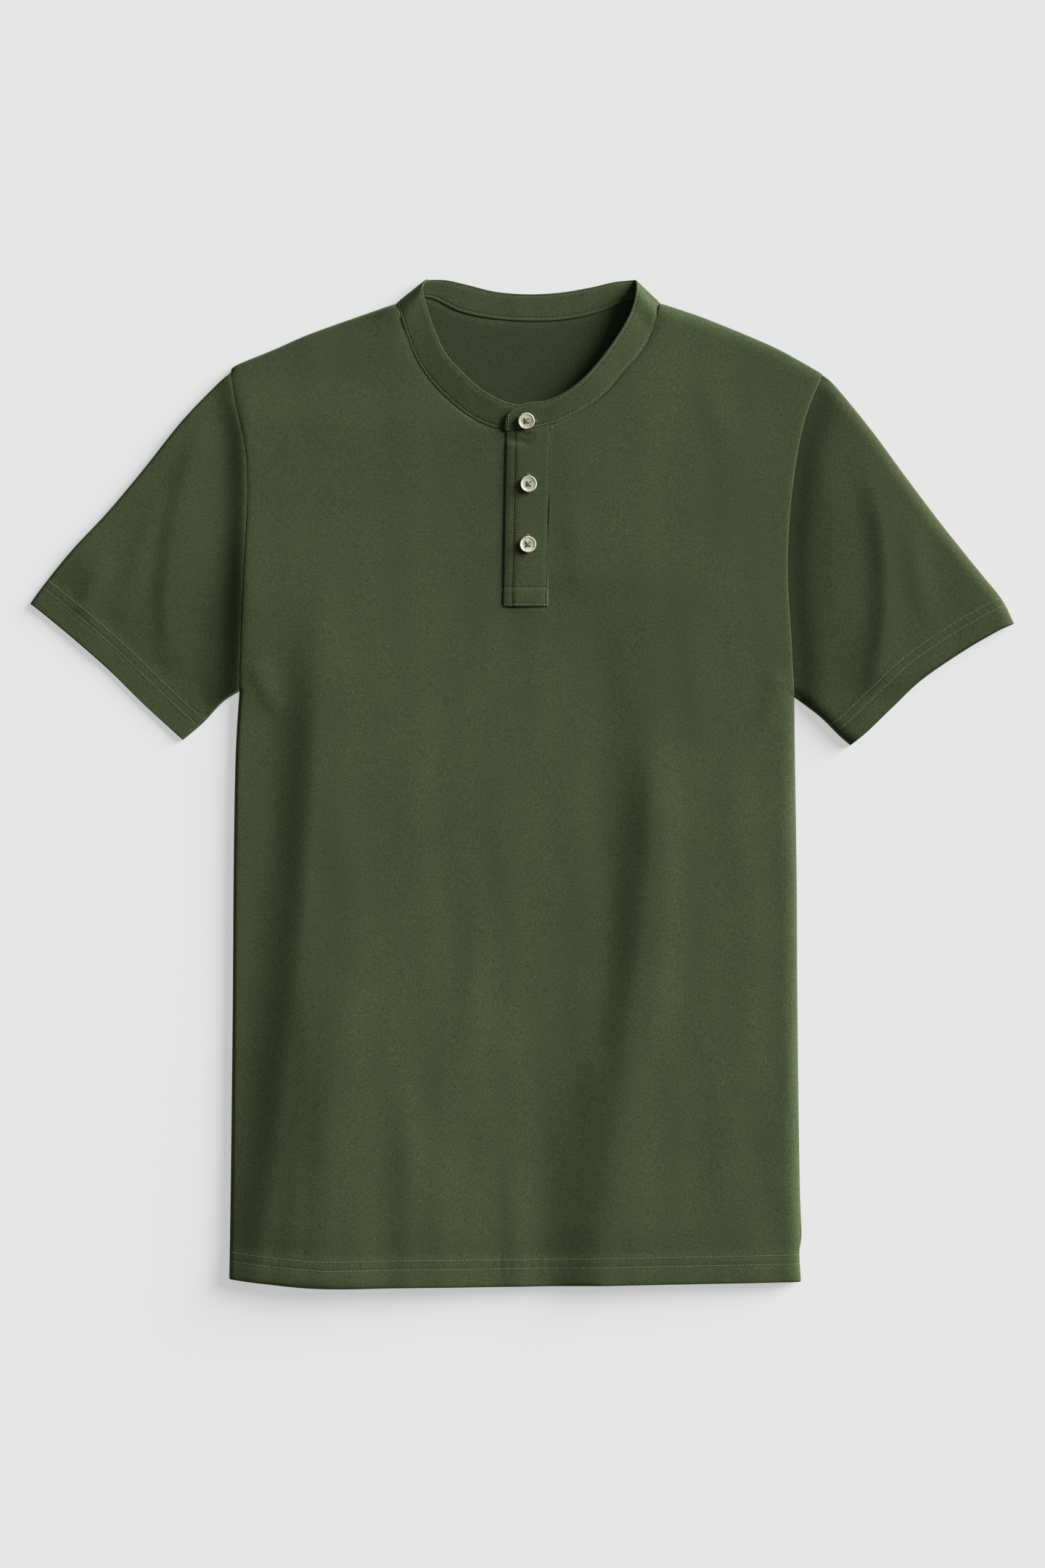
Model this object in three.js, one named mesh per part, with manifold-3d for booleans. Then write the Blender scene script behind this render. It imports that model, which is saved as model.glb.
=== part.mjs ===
// A short-sleeved henley shirt in cotton jersey, laid flat and face up on a surface.
// Millimetres: +X to the wearer's left, +Y to the neck, +Z up, from the surface under the shirt's middle.
// The back lies on the surface, the front lies on the back, and each sleeve is a flattened tube.
import * as THREE from "three";
import { mergeVertices } from "three/addons/utils/BufferGeometryUtils.js";
import Module from "manifold-3d";

const wasm = await Module();
wasm.setup();

// Cloth and seams
const clothThickness = 1.2; // one layer of jersey
const bandThickness = 1.6; // neckband, folded double and pressed
const stripThickness = 1.5; // upper placket strip, folded double over interlining
const seamGap = 0.3; // clearance between neighbouring pieces
const frontRest = 2 * clothThickness + seamGap; // top of the front where it lies on the back

// How the top layer lies
const bodyLoft = 2.4; // how far the front stands above its rest height, away from the edges
const hemEase = { keep: 0.85, reach: 45 }; // the loft drops to this share towards an open hem
const neckCentre = { x: 4, y: 330, radius: 78, reach: 60 }; // the cloth stands higher over this reach
const neckPoint = { lift: 1.2, reach: 16 }; // and at the neck end of each shoulder

// Placket: the free edge of the upper strip, its sewn edge, and the slot under it
const placket = { top: 268, bottom: 128.5, freeTop: -11.2, freeBottom: -13.8, sewnTop: 21.6, sewnBottom: 17.6 };
const overhang = 2.9; // the free edge reaches past the slot
const underShort = 1; // the under strip stops short of the slot's far side
const overlapLift = stripThickness + seamGap + 0.1; // rise of the wearer's left front at the placket
const overlapFade = { across: 120, below: 26, atEnd: 0.35 };

// Buttons, four holes each
const button = { radius: 5.95, rim: 1.3, thickness: 2.6, dish: 0.8, hole: 0.75, spacing: 1.35 };
const buttonPlaces = [
  { name: "button_top", x: 3.2, y: 263.5 },
  { name: "button_middle", x: 4.8, y: 217.8 },
  { name: "button_lower", x: 4.3, y: 173.9 },
];

// Edges seen from above. The shoulder runs from the neck to the sleeve, the others down or outwards.
const rightSide = {
  shoulder: [
    { x: -91.3, y: 349.5 },
    { x: -106.7, y: 344.5 },
    { x: -153.3, y: 328 },
    { x: -179.8, y: 316.5 },
    { x: -207.5, y: 305 },
    { x: -212.2, y: 300 },
  ],
  armhole: [
    { x: -212.2, y: 300 },
    { x: -208.7, y: 277 },
    { x: -202.4, y: 250 },
    { x: -200.2, y: 228 },
    { x: -200.2, y: 198 },
    { x: -202.6, y: 156 },
    { x: -204.7, y: 105 },
    { x: -205.8, y: 67.3 },
  ],
  side: [
    { x: -205.8, y: 67.3 },
    { x: -208.6, y: 20 },
    { x: -210, y: -60 },
    { x: -210.8, y: -170 },
    { x: -212, y: -280 },
    { x: -213.2, y: -361 },
  ],
  sleeveTop: [
    { x: -212.2, y: 300 },
    { x: -222.2, y: 291.5 },
    { x: -248.7, y: 263.9 },
    { x: -275.2, y: 230.5 },
    { x: -301.7, y: 198.8 },
    { x: -328.2, y: 170.5 },
    { x: -348.5, y: 145.5 },
    { x: -359, y: 131 },
  ],
  underarm: [
    { x: -205.8, y: 67.3 },
    { x: -218.5, y: 59 },
    { x: -232.8, y: 44 },
    { x: -247.5, y: 31.5 },
  ],
  cuff: [
    { x: -359, y: 131 },
    { x: -349.4, y: 123.5 },
    { x: -328.2, y: 106 },
    { x: -301.7, y: 82.7 },
    { x: -275.2, y: 56.7 },
    { x: -247.5, y: 31.5 },
  ],
  cuffPeek: 0.4, // how far the under layer shows past the cuff
  edgeRadius: 3.5, // width of the rounding along folds and side seams
  neckLoft: 0.9, // extra height of the cloth beside the neck
  sleeveLoft: 1.9,
  seamStep: 1.5, // change of the sleeve's height at the armhole seam
  seamReach: 9,
};
const leftSide = {
  shoulder: [
    { x: 100.8, y: 349.5 },
    { x: 117, y: 344.5 },
    { x: 138.2, y: 337 },
    { x: 180.6, y: 319.3 },
    { x: 204, y: 307 },
    { x: 218.9, y: 298.2 },
  ],
  armhole: [
    { x: 218.9, y: 298.2 },
    { x: 206.6, y: 267.3 },
    { x: 199.1, y: 230.8 },
    { x: 194.4, y: 186.2 },
    { x: 193.7, y: 145.8 },
    { x: 196.2, y: 105.2 },
    { x: 198.3, y: 63.1 },
  ],
  side: [
    { x: 198.3, y: 63.1 },
    { x: 198.8, y: 20 },
    { x: 200, y: -60 },
    { x: 200.7, y: -170 },
    { x: 202.3, y: -290 },
    { x: 203.6, y: -329 },
    { x: 202, y: -341 },
    { x: 203.2, y: -363 },
  ],
  sleeveTop: [
    { x: 218.9, y: 298.2 },
    { x: 229, y: 289.5 },
    { x: 254.8, y: 258 },
    { x: 281.3, y: 222 },
    { x: 307.8, y: 187 },
    { x: 334.3, y: 154 },
    { x: 350.2, y: 134.3 },
    { x: 359.2, y: 116.5 },
  ],
  underarm: [
    { x: 198.3, y: 63.1 },
    { x: 217.5, y: 48.5 },
    { x: 231.7, y: 34.5 },
    { x: 239.8, y: 27.6 },
  ],
  cuff: [
    { x: 359.2, y: 116.5 },
    { x: 347, y: 110.8 },
    { x: 322.9, y: 96.7 },
    { x: 292.4, y: 75.8 },
    { x: 272.2, y: 57 },
    { x: 251.9, y: 37.4 },
    { x: 239.8, y: 27.6 },
  ],
  cuffPeek: 2.4,
  edgeRadius: 9,
  neckLoft: 3.4,
  sleeveLoft: 4.2,
  seamStep: -3.2,
  seamReach: 13,
};
const sides = [rightSide, leftSide];
const hemLine = [
  { x: -213.2, y: -361 },
  { x: -187.8, y: -364 },
  { x: -145, y: -367.5 },
  { x: -82, y: -366.8 },
  { x: 0, y: -366.2 },
  { x: 109, y: -364.6 },
  { x: 203.2, y: -363 },
];

// Folds of the top layer: a crest from (x0, y0) to (x1, y1), bowed sideways, that falls away over minus
// towards -X and plus towards +X. A height below zero is a trough. It dies out at each end over the share
// that start and end give.
const folds = [
  { x0: -141, y0: 165, x1: -191, y1: -372, bow: 8, height: 6.2, minus: 18, plus: 180, start: 0.34, end: 0.02 },
  { x0: -150, y0: -90, x1: -164, y1: -372, bow: 0, height: 1.8, minus: 16, plus: 60, start: 0.4, end: 0.02 },
  { x0: -130, y0: -60, x1: -140, y1: -372, bow: 0, height: 2.2, minus: 22, plus: 80, start: 0.4, end: 0.03 },
  { x0: 60, y0: 225, x1: 98, y1: 20, bow: -4, height: 0.9, minus: 22, plus: 90, start: 0.3, end: 0.3 },
  { x0: 100, y0: 85, x1: 69, y1: -232, bow: 8, height: 4.1, minus: 20, plus: 140, start: 0.4, end: 0.3 },
  { x0: 101, y0: 60, x1: 86, y1: -232, bow: 6, height: 1.5, minus: 20, plus: 15, start: 0.3, end: 0.3 },
  { x0: 82, y0: -137, x1: 58, y1: -372, bow: 0, height: 4.1, minus: 23, plus: 140, start: 0.4, end: 0.03 },
  { x0: 57, y0: -180, x1: 42, y1: -372, bow: 0, height: 1.5, minus: 17, plus: 40, start: 0.25, end: 0.03 },
  { x0: 124, y0: 190, x1: 130, y1: 20, bow: 0, height: 1, minus: 30, plus: 36, start: 0.35, end: 0.35 },
  { x0: -82, y0: -205, x1: -80, y1: -372, bow: 2, height: 1.2, minus: 12, plus: 40, start: 0.4, end: 0.03 },
  { x0: -56, y0: -110, x1: -54, y1: -270, bow: 2, height: 1, minus: 14, plus: 30, start: 0.4, end: 0.4 },
  { x0: -58, y0: -265, x1: -52, y1: -372, bow: 0, height: 1.1, minus: 15, plus: 30, start: 0.4, end: 0.03 },
  { x0: 188, y0: -215, x1: 190, y1: -345, bow: 0, height: 0.8, minus: 14, plus: 14, start: 0.4, end: 0.4 },
  { x0: -196, y0: 300, x1: -192, y1: 84, bow: -6, height: 1.7, minus: 11, plus: 170, start: 0.2, end: 0.3 },
  { x0: -226, y0: 268, x1: -252, y1: 62, bow: -17, height: 1.1, minus: 9, plus: 30, start: 0.15, end: 0.3 },
  { x0: 246, y0: 250, x1: 254, y1: 58, bow: 16, height: 2.3, minus: 10, plus: 100, start: 0.42, end: 0.12 },
];
// The front and the sleeve rise towards each other at the wearer's right armhole.
const frontFolds = [
  { x0: -201, y0: 210, x1: -204, y1: 36, bow: 0, height: 3, minus: 14, plus: 90, start: 0.5, end: 0.45 },
];
const sleeveFolds = [
  { x0: -190, y0: 210, x1: -194, y1: 36, bow: 0, height: 5, minus: 20, plus: 20, start: 0.5, end: 0.2 },
];

// Neckband, station by station: from its under end at the front, round the wearer's right, the back and the
// wearer's left to the buttoned tab. It is sewn along (sewnX, sewnY) and free along (freeX, freeY), which
// stands higher by rise. A flat station lies on the surface, and a turn station gives its heights.
const bandStations = [
  { lies: "under", sewnX: 20, sewnY: 257.3, freeX: 20, freeY: 277.2, rise: 1.6 },
  { lies: "under", sewnX: 4, sewnY: 256, freeX: 4, freeY: 275.6, rise: 1.6 },
  { lies: "under", sewnX: -10, sewnY: 256.9, freeX: -7, freeY: 276.3, rise: 1.9 },
  { lies: "under", sewnX: -24, sewnY: 259.8, freeX: -17.4, freeY: 279.9, rise: 2 },
  { lies: "under", sewnX: -38.3, sewnY: 266.9, freeX: -31.2, freeY: 288.2, rise: 1.7 },
  { lies: "under", sewnX: -52.7, sewnY: 278.5, freeX: -45.3, freeY: 301.2, rise: 1.4 },
  { lies: "under", sewnX: -65.3, sewnY: 291.3, freeX: -56.9, freeY: 315.4, rise: 1.2 },
  { lies: "under", sewnX: -76, sewnY: 307, freeX: -65, freeY: 334, rise: 1.1 },
  { lies: "under", sewnX: -83.6, sewnY: 325, freeX: -70, freeY: 349.8, rise: 1.1 },
  { lies: "under", sewnX: -88.6, sewnY: 340, freeX: -72.4, freeY: 360, rise: 1.2 },
  { lies: "turn", sewnX: -91, sewnY: 348, freeX: -70.6, freeY: 365.6, sewnZ: 3.1, freeZ: 4 },
  { lies: "turn", sewnX: -91.3, sewnY: 349.6, freeX: -69.2, freeY: 367.1, sewnZ: 2, freeZ: 2.4 },
  { lies: "turn", sewnX: -89.4, sewnY: 350.2, freeX: -67.8, freeY: 367.4, sewnZ: 1, freeZ: 1.1 },
  { lies: "flat", sewnX: -80, sewnY: 353.8, freeX: -63.4, freeY: 367.5 },
  { lies: "flat", sewnX: -66, sewnY: 353.6, freeX: -54, freeY: 367 },
  { lies: "flat", sewnX: -45.3, sewnY: 344, freeX: -39, freeY: 363.6 },
  { lies: "flat", sewnX: -22, sewnY: 339, freeX: -19, freeY: 358.8 },
  { lies: "flat", sewnX: 4.3, sewnY: 337.1, freeX: 4.3, freeY: 357 },
  { lies: "flat", sewnX: 30, sewnY: 338, freeX: 28, freeY: 358.2 },
  { lies: "flat", sewnX: 55, sewnY: 343, freeX: 49.5, freeY: 361.8 },
  { lies: "flat", sewnX: 76, sewnY: 351.4, freeX: 66, freeY: 365.6 },
  { lies: "flat", sewnX: 90.4, sewnY: 353.6, freeX: 76.6, freeY: 366.9 },
  { lies: "turn", sewnX: 99.2, sewnY: 350.2, freeX: 81, freeY: 367.2, sewnZ: 1, freeZ: 1.1 },
  { lies: "turn", sewnX: 100.8, sewnY: 349.6, freeX: 82.4, freeY: 366.8, sewnZ: 2, freeZ: 2.4 },
  { lies: "turn", sewnX: 100.4, sewnY: 348, freeX: 83.2, freeY: 364.9, sewnZ: 3.4, freeZ: 4.4 },
  { lies: "over", sewnX: 98.2, sewnY: 340.4, freeX: 83, freeY: 358.8, rise: 2.6 },
  { lies: "over", sewnX: 94.4, sewnY: 327, freeX: 79.6, freeY: 344.8, rise: 3.8 },
  { lies: "over", sewnX: 87.2, sewnY: 314, freeX: 72.4, freeY: 330.6, rise: 4.2 },
  { lies: "over", sewnX: 75.4, sewnY: 300.4, freeX: 61, freeY: 313.8, rise: 4.2 },
  { lies: "over", sewnX: 61.2, sewnY: 284, freeX: 47.8, freeY: 298, rise: 3.8 },
  { lies: "over", sewnX: 47, sewnY: 272.9, freeX: 36.9, freeY: 288.3, rise: 3.2 },
  { lies: "over", sewnX: 32.7, sewnY: 265, freeX: 26.9, freeY: 282, rise: 2.7 },
  { lies: "over", sewnX: 18.4, sewnY: 260, freeX: 16.4, freeY: 278, rise: 2.3 },
  { lies: "over", sewnX: 4.3, sewnY: 257.2, freeX: 5, freeY: 276.8, rise: 2.3 },
  { lies: "over", sewnX: -4.6, sewnY: 256.4, freeX: -2.6, freeY: 274.3, rise: 2.2 },
  { lies: "over", sewnX: -10.2, sewnY: 256.1, freeX: -9.6, freeY: 269.6, rise: 1.8 },
  { lies: "over", sewnX: -12.2, sewnY: 256.9, freeX: -12.2, freeY: 264.2, rise: 1.3 },
];
const stationCount = bandStations.length;
const rightTurn = bandStations.findIndex((s) => s.lies === "turn") + 1;
const leftTurn = bandStations.findLastIndex((s) => s.lies === "turn") - 1;

// Mesh density
const fineStops = [0, 1.8, 5, 10, 18]; // distances from a rounded edge
const bodyColumns = 25;
const armholeRows = 9;
const sideRows = 16;
const sleeveShares = [0, 0.015, 0.045, 0.09, 0.16, 0.25, 0.35, 0.46, 0.57, 0.68, 0.79, 0.9, 1];
const bandSteps = 3; // pieces of mesh between two stations
const bandAcross = 3;
const stripRows = 24;
const stripColumns = [0, 0.06, 0.28, 0.5, 0.72, 0.94, 1];
const silhouetteSteps = 28;
const buttonSegments = 40;
const holeSegments = 12;
const cutDepth = 30; // height of the solids that cut the neck and the slot
const aboveNeck = 400;

const smooth = (low, high, value) => THREE.MathUtils.smoothstep(value, low, high);
const evenShares = (count) => Array.from({ length: count + 1 }, (_, i) => i / count);

// A smooth curve through the rows of a table, and points along it.
function curveOf(rows) {
  const curve = new THREE.SplineCurve(rows.map((p) => new THREE.Vector2(p.x, p.y)));
  curve.arcLengthDivisions = 600;
  return curve;
}
const pointsAlong = (rows, shares) => {
  const curve = curveOf(rows);
  return shares.map((share) => curve.getPointAt(share));
};
const lengthOf = (rows) => curveOf(rows).getLength();

// Shares of a length, closely spaced at both ends.
function easedShares(length, inner) {
  const from = fineStops.at(-1);
  const middle = evenShares(inner)
    .slice(1, -1)
    .map((share) => from + (length - 2 * from) * share);
  const tail = fineStops.map((d) => length - d).reverse();
  return [...fineStops, ...middle, ...tail].map((d) => d / length);
}

// Distance from a point to a polyline, and to the nearest of several.
function distanceTo(line, x, y) {
  let best = Infinity;
  for (let i = 1; i < line.length; i++) {
    const a = line[i - 1];
    const dx = line[i].x - a.x;
    const dy = line[i].y - a.y;
    const along = ((x - a.x) * dx + (y - a.y) * dy) / (dx * dx + dy * dy);
    const t = THREE.MathUtils.clamp(along, 0, 1);
    best = Math.min(best, Math.hypot(x - a.x - t * dx, y - a.y - t * dy));
  }
  return best;
}
const nearest = (lines, x, y) => Math.min(...lines.map((line) => distanceTo(line, x, y)));
const polyline = (rows) => pointsAlong(rows, evenShares(silhouetteSteps));
const outlines = sides.map((s) => [s.shoulder, s.sleeveTop, s.underarm, s.side].map(polyline));
const openEdges = [hemLine, ...sides.map((s) => s.cuff)].map(polyline);
const armholes = sides.map((s) => polyline(s.armhole));

// Height that one fold adds at a point.
function foldHeight(fold, x, y) {
  const dx = fold.x1 - fold.x0;
  const dy = fold.y1 - fold.y0;
  const length = Math.hypot(dx, dy);
  const along = ((x - fold.x0) * dx + (y - fold.y0) * dy) / (length * length);
  if (along <= 0 || along >= 1) return 0;
  const across = ((x - fold.x0) * -dy + (y - fold.y0) * dx) / length - 4 * fold.bow * along * (1 - along);
  const width = across > 0 ? fold.plus : fold.minus;
  const ends = smooth(0, fold.start, along) * smooth(0, fold.end, 1 - along);
  return fold.height * ends * Math.exp(-((across / width) ** 2));
}

// Share of the loft that a point has, which grows from each outline as on a quarter of an ellipse.
function loftShare(x, y) {
  const inwards = sides.map((s, k) => nearest(outlines[k], x, y) / s.edgeRadius);
  return Math.sqrt(1 - (1 - Math.min(...inwards, 1)) ** 2);
}

// Top of the upper layer of cloth, before the placket lifts it.
function clothTop(x, y, loft = bodyLoft, ownFolds = []) {
  const open = hemEase.keep + (1 - hemEase.keep) * smooth(0, hemEase.reach, nearest(openEdges, x, y));
  const fromNeck = Math.hypot(x - neckCentre.x, y - neckCentre.y) - neckCentre.radius;
  const toLeft = smooth(-neckCentre.radius, neckCentre.radius, x);
  const neckLoft = THREE.MathUtils.lerp(rightSide.neckLoft, leftSide.neckLoft, toLeft);
  const neck = neckLoft * Math.exp(-((Math.max(fromNeck, 0) / neckCentre.reach) ** 2));
  const creases = [...folds, ...ownFolds].reduce((sum, fold) => sum + foldHeight(fold, x, y), 0);
  const toCorner = Math.min(...sides.map((s) => Math.hypot(x - s.shoulder[0].x, y - s.shoulder[0].y)));
  const corner = neckPoint.lift * Math.exp(-((toCorner / neckPoint.reach) ** 2));
  return Math.max(frontRest, frontRest + corner + loftShare(x, y) * (loft * open + neck + creases * open));
}

// The layers of the placket lift the wearer's left front, less and less away from them.
const placketShare = (y) => (placket.top - y) / (placket.top - placket.bottom);
const freeEdgeX = (y) => THREE.MathUtils.lerp(placket.freeTop, placket.freeBottom, placketShare(y));
const sewnEdgeX = (y) => THREE.MathUtils.lerp(placket.sewnTop, placket.sewnBottom, placketShare(y));
function overlapAt(x, y) {
  const across = 1 - smooth(0, overlapFade.across, x - sewnEdgeX(y));
  const above = y - placket.bottom;
  const end = overlapFade.atEnd * smooth(-overlapFade.below, 0, above);
  const slot = (1 - overlapFade.atEnd) * smooth(0, overlapFade.below, above);
  return overlapLift * across * (end + slot);
}
function frontTop(x, y) {
  const onLeft = smooth(freeEdgeX(y) + overhang, sewnEdgeX(y), x);
  return clothTop(x, y, bodyLoft, frontFolds) + onLeft * overlapAt(x, y);
}
function sleeveTop(k, x, y) {
  const { sleeveLoft, seamStep, seamReach } = sides[k];
  const step = seamStep * Math.exp(-((distanceTo(armholes[k], x, y) / seamReach) ** 2));
  return Math.max(frontRest, clothTop(x, y, sleeveLoft, sleeveFolds) + step);
}

// Points between four edges: start and end run across, first and last run along.
function patch(start, end, first, last, across, along) {
  const blend = (j, i) => {
    const u = across[i];
    const v = along[j];
    const p = new THREE.Vector2();
    p.addScaledVector(start[i], 1 - v).addScaledVector(end[i], v);
    p.addScaledVector(first[j], 1 - u).addScaledVector(last[j], u);
    p.addScaledVector(start[0], (u - 1) * (1 - v)).addScaledVector(start.at(-1), -u * (1 - v));
    return p.addScaledVector(end[0], (u - 1) * v).addScaledVector(end.at(-1), -u * v);
  };
  return along.map((_, j) => across.map((_, i) => blend(j, i)));
}

const raised = (p, z) => new THREE.Vector3(p.x, p.y, z);
const meshIndex = () => {
  const triangles = [];
  const quad = (a, b, c, d) => triangles.push(a, b, c, a, c, d);
  return { triangles, quad };
};
function geometryOf(points, triangles) {
  const geometry = new THREE.BufferGeometry().setFromPoints(points);
  geometry.setIndex(triangles);
  return geometry;
}

// A closed wall between two grids of points. The outer face looks along rows crossed with columns.
function sheetWall(outer, inner) {
  const rows = outer.length;
  const columns = outer[0].length;
  const at = (face, j, i) => (face * rows + j) * columns + i;
  const { triangles, quad } = meshIndex();
  const lastRow = rows - 1;
  const lastColumn = columns - 1;
  for (let j = 0; j < lastRow; j++)
    for (let i = 0; i < lastColumn; i++) {
      quad(at(0, j, i), at(0, j + 1, i), at(0, j + 1, i + 1), at(0, j, i + 1));
      quad(at(1, j, i), at(1, j, i + 1), at(1, j + 1, i + 1), at(1, j + 1, i));
    }
  for (let i = 0; i < lastColumn; i++) {
    quad(at(0, 0, i), at(0, 0, i + 1), at(1, 0, i + 1), at(1, 0, i));
    quad(at(0, lastRow, i), at(1, lastRow, i), at(1, lastRow, i + 1), at(0, lastRow, i + 1));
  }
  for (let j = 0; j < lastRow; j++) {
    quad(at(0, j, 0), at(1, j, 0), at(1, j + 1, 0), at(0, j + 1, 0));
    quad(at(0, j, lastColumn), at(0, j + 1, lastColumn), at(1, j + 1, lastColumn), at(1, j, lastColumn));
  }
  return geometryOf([...outer.flat(), ...inner.flat()], triangles);
}

// A closed wall between two stacks of rings, open at both ends.
function tubeWall(outer, inner) {
  const rings = outer.length;
  const around = outer[0].length;
  const at = (face, j, i) => (face * rings + j) * around + (i % around);
  const { triangles, quad } = meshIndex();
  const lastRing = rings - 1;
  for (let i = 0; i < around; i++) {
    for (let j = 0; j < lastRing; j++) {
      quad(at(0, j, i), at(0, j + 1, i), at(0, j + 1, i + 1), at(0, j, i + 1));
      quad(at(1, j, i), at(1, j, i + 1), at(1, j + 1, i + 1), at(1, j + 1, i));
    }
    quad(at(0, 0, i), at(0, 0, i + 1), at(1, 0, i + 1), at(1, 0, i));
    quad(at(0, lastRing, i), at(1, lastRing, i), at(1, lastRing, i + 1), at(0, lastRing, i + 1));
  }
  return geometryOf([...outer.flat(), ...inner.flat()], triangles);
}

// A geometry as a solid for cutting, and a cut solid as a geometry again.
function solidOf(geometry) {
  const bare = geometry.clone();
  bare.deleteAttribute("normal");
  bare.deleteAttribute("uv");
  const merged = mergeVertices(bare, 1e-4);
  const vertProperties = merged.attributes.position.array;
  const triVerts = new Uint32Array(merged.index.array);
  return new wasm.Manifold(new wasm.Mesh({ numProp: 3, vertProperties, triVerts }));
}
function geometryFrom(solid) {
  const mesh = solid.getMesh();
  const geometry = new THREE.BufferGeometry();
  geometry.setAttribute("position", new THREE.BufferAttribute(new Float32Array(mesh.vertProperties), 3));
  geometry.setIndex(new THREE.BufferAttribute(mesh.triVerts, 1));
  return geometry;
}
const cutFrom = (geometry, ...tools) =>
  geometryFrom(tools.reduce((solid, tool) => solid.subtract(solidOf(tool)), solidOf(geometry)));
function prism(points, bottom, height) {
  const shape = new THREE.Shape(points.map((p) => new THREE.Vector2(p.x, p.y)));
  return new THREE.ExtrudeGeometry(shape, { depth: height, bevelEnabled: false }).translate(0, 0, bottom);
}

// The middle surface of the neckband between its two edge curves, and which way it faces there.
function bandHeights(s) {
  if (s.lies === "flat") return { sewnZ: bandThickness / 2, freeZ: bandThickness / 2 };
  if (s.lies === "turn") return s;
  const lift = s.lies === "over" ? overlapAt(s.sewnX, s.sewnY) : 0;
  const sewnZ = clothTop(s.sewnX, s.sewnY) - bandThickness / 2 + lift;
  return { sewnZ, freeZ: sewnZ + s.rise };
}
const bandEdges = (() => {
  const heights = bandStations.map(bandHeights);
  const sewn = bandStations.map((s, i) => new THREE.Vector3(s.sewnX, s.sewnY, heights[i].sewnZ));
  const free = bandStations.map((s, i) => new THREE.Vector3(s.freeX, s.freeY, heights[i].freeZ));
  const through = (points) => new THREE.CatmullRomCurve3(points, false, "catmullrom", 0.5);
  return { sewn: through(sewn), free: through(free) };
})();
const bandAt = (t, w) => bandEdges.sewn.getPoint(t).lerp(bandEdges.free.getPoint(t), w);
function bandNormal(t, w) {
  const step = 0.3 / stationCount;
  const ahead = bandAt(Math.min(t + step, 1), w).sub(bandAt(Math.max(t - step, 0), w));
  return bandAt(t, 1).sub(bandAt(t, 0)).cross(ahead).normalize();
}
function neckbandGeometry() {
  const face = (side) =>
    evenShares((stationCount - 1) * bandSteps).map((t) =>
      evenShares(bandAcross).map((w) => {
        const p = bandAt(t, w).addScaledVector(bandNormal(t, w), (side * bandThickness) / 2);
        return p.setZ(Math.max(p.z, 0));
      }),
    );
  return sheetWall(face(-1), face(1));
}

// The sewn edge of the band between two stations, moved onto the cloth by the seam gap.
function neckline(from, to) {
  return evenShares(bandSteps * (to - from)).map((share) => {
    const t = (from + (to - from) * share) / (stationCount - 1);
    const normal = bandNormal(t, 0);
    const outwards = bandAt(t, 0).sub(bandAt(t, 1)).setZ(0).normalize();
    const lean = (bandThickness / 2) * Math.hypot(normal.x, normal.y);
    return bandAt(t, 0).addScaledVector(outwards, seamGap + lean);
  });
}

// A solid over the neck hole, from the sewn edge up past the shoulders, wider by extra at its placket end.
function neckCut(from, to, extra) {
  const line = neckline(from, to);
  const placketEnd = extra > 0 ? line[0] : line.at(-1);
  const past = placketEnd.clone().setX(placketEnd.x + extra);
  const edge = extra > 0 ? [past, ...line] : [...line, past];
  const ends = [edge.at(-1), edge[0]].map((p) => p.clone().setY(aboveNeck));
  return prism([...edge, ...ends], 0, cutDepth);
}
const rightNeckCut = neckCut(0, rightTurn, 3);
const leftNeckCut = neckCut(leftTurn, stationCount - 1, -4);

// Front: one wall with the neck hole and the placket slot cut out
const armholeShares = sides.map((s) => easedShares(lengthOf(s.armhole), armholeRows));
const armholePoints = sides.map((s, k) => pointsAlong(s.armhole, armholeShares[k]));
const sidePoints = sides.map((s) => pointsAlong(s.side, evenShares(sideRows)));
const bodyEdges = sides.map((_, k) => [...armholePoints[k], ...sidePoints[k].slice(1)]);
function cumulativeShares(points) {
  const lengths = points.map((p, i) => (i ? p.distanceTo(points[i - 1]) : 0));
  const total = lengths.reduce((sum, d) => sum + d, 0);
  return lengths.map((_, i) => lengths.slice(0, i + 1).reduce((sum, d) => sum + d, 0) / total);
}
function frontGeometry() {
  const columns = easedShares(lengthOf(hemLine), bodyColumns);
  const shoulders = new THREE.CurvePath();
  const [rightCorner, leftCorner] = sides.map((s) => new THREE.Vector2(s.shoulder[0].x, s.shoulder[0].y));
  shoulders.add(curveOf([...rightSide.shoulder].reverse()));
  shoulders.add(new THREE.LineCurve(rightCorner, leftCorner));
  shoulders.add(curveOf(leftSide.shoulder));
  const top = columns.map((share) => shoulders.getPoint(share));
  const hem = pointsAlong(hemLine, columns);
  const grid = patch(top, hem, ...bodyEdges, columns, cumulativeShares(bodyEdges[0]));
  const face = (drop) => grid.map((row) => row.map((p) => raised(p, frontTop(p.x, p.y) - drop)));
  const slotEdge = (y) => [
    { x: freeEdgeX(y) + overhang, y },
    { x: sewnEdgeX(y), y },
  ];
  const slot = prism([...slotEdge(placket.bottom), ...slotEdge(placket.top).reverse()], 0, cutDepth);
  return cutFrom(sheetWall(face(0), face(clothThickness)), rightNeckCut, leftNeckCut, slot);
}

// Back: flat on the surface
function backGeometry() {
  const [rightShoulder, leftShoulder] = sides.map((s) => pointsAlong(s.shoulder, evenShares(8)).slice(1));
  const hem = pointsAlong(hemLine, evenShares(bodyColumns));
  return prism(
    [
      ...neckline(rightTurn + 1, leftTurn - 1),
      ...leftShoulder,
      ...bodyEdges[1].slice(1),
      ...hem.slice(0, -1).reverse(),
      ...[...bodyEdges[0]].reverse().slice(1),
      ...rightShoulder.reverse().slice(1),
    ],
    0,
    clothThickness,
  );
}

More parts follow.
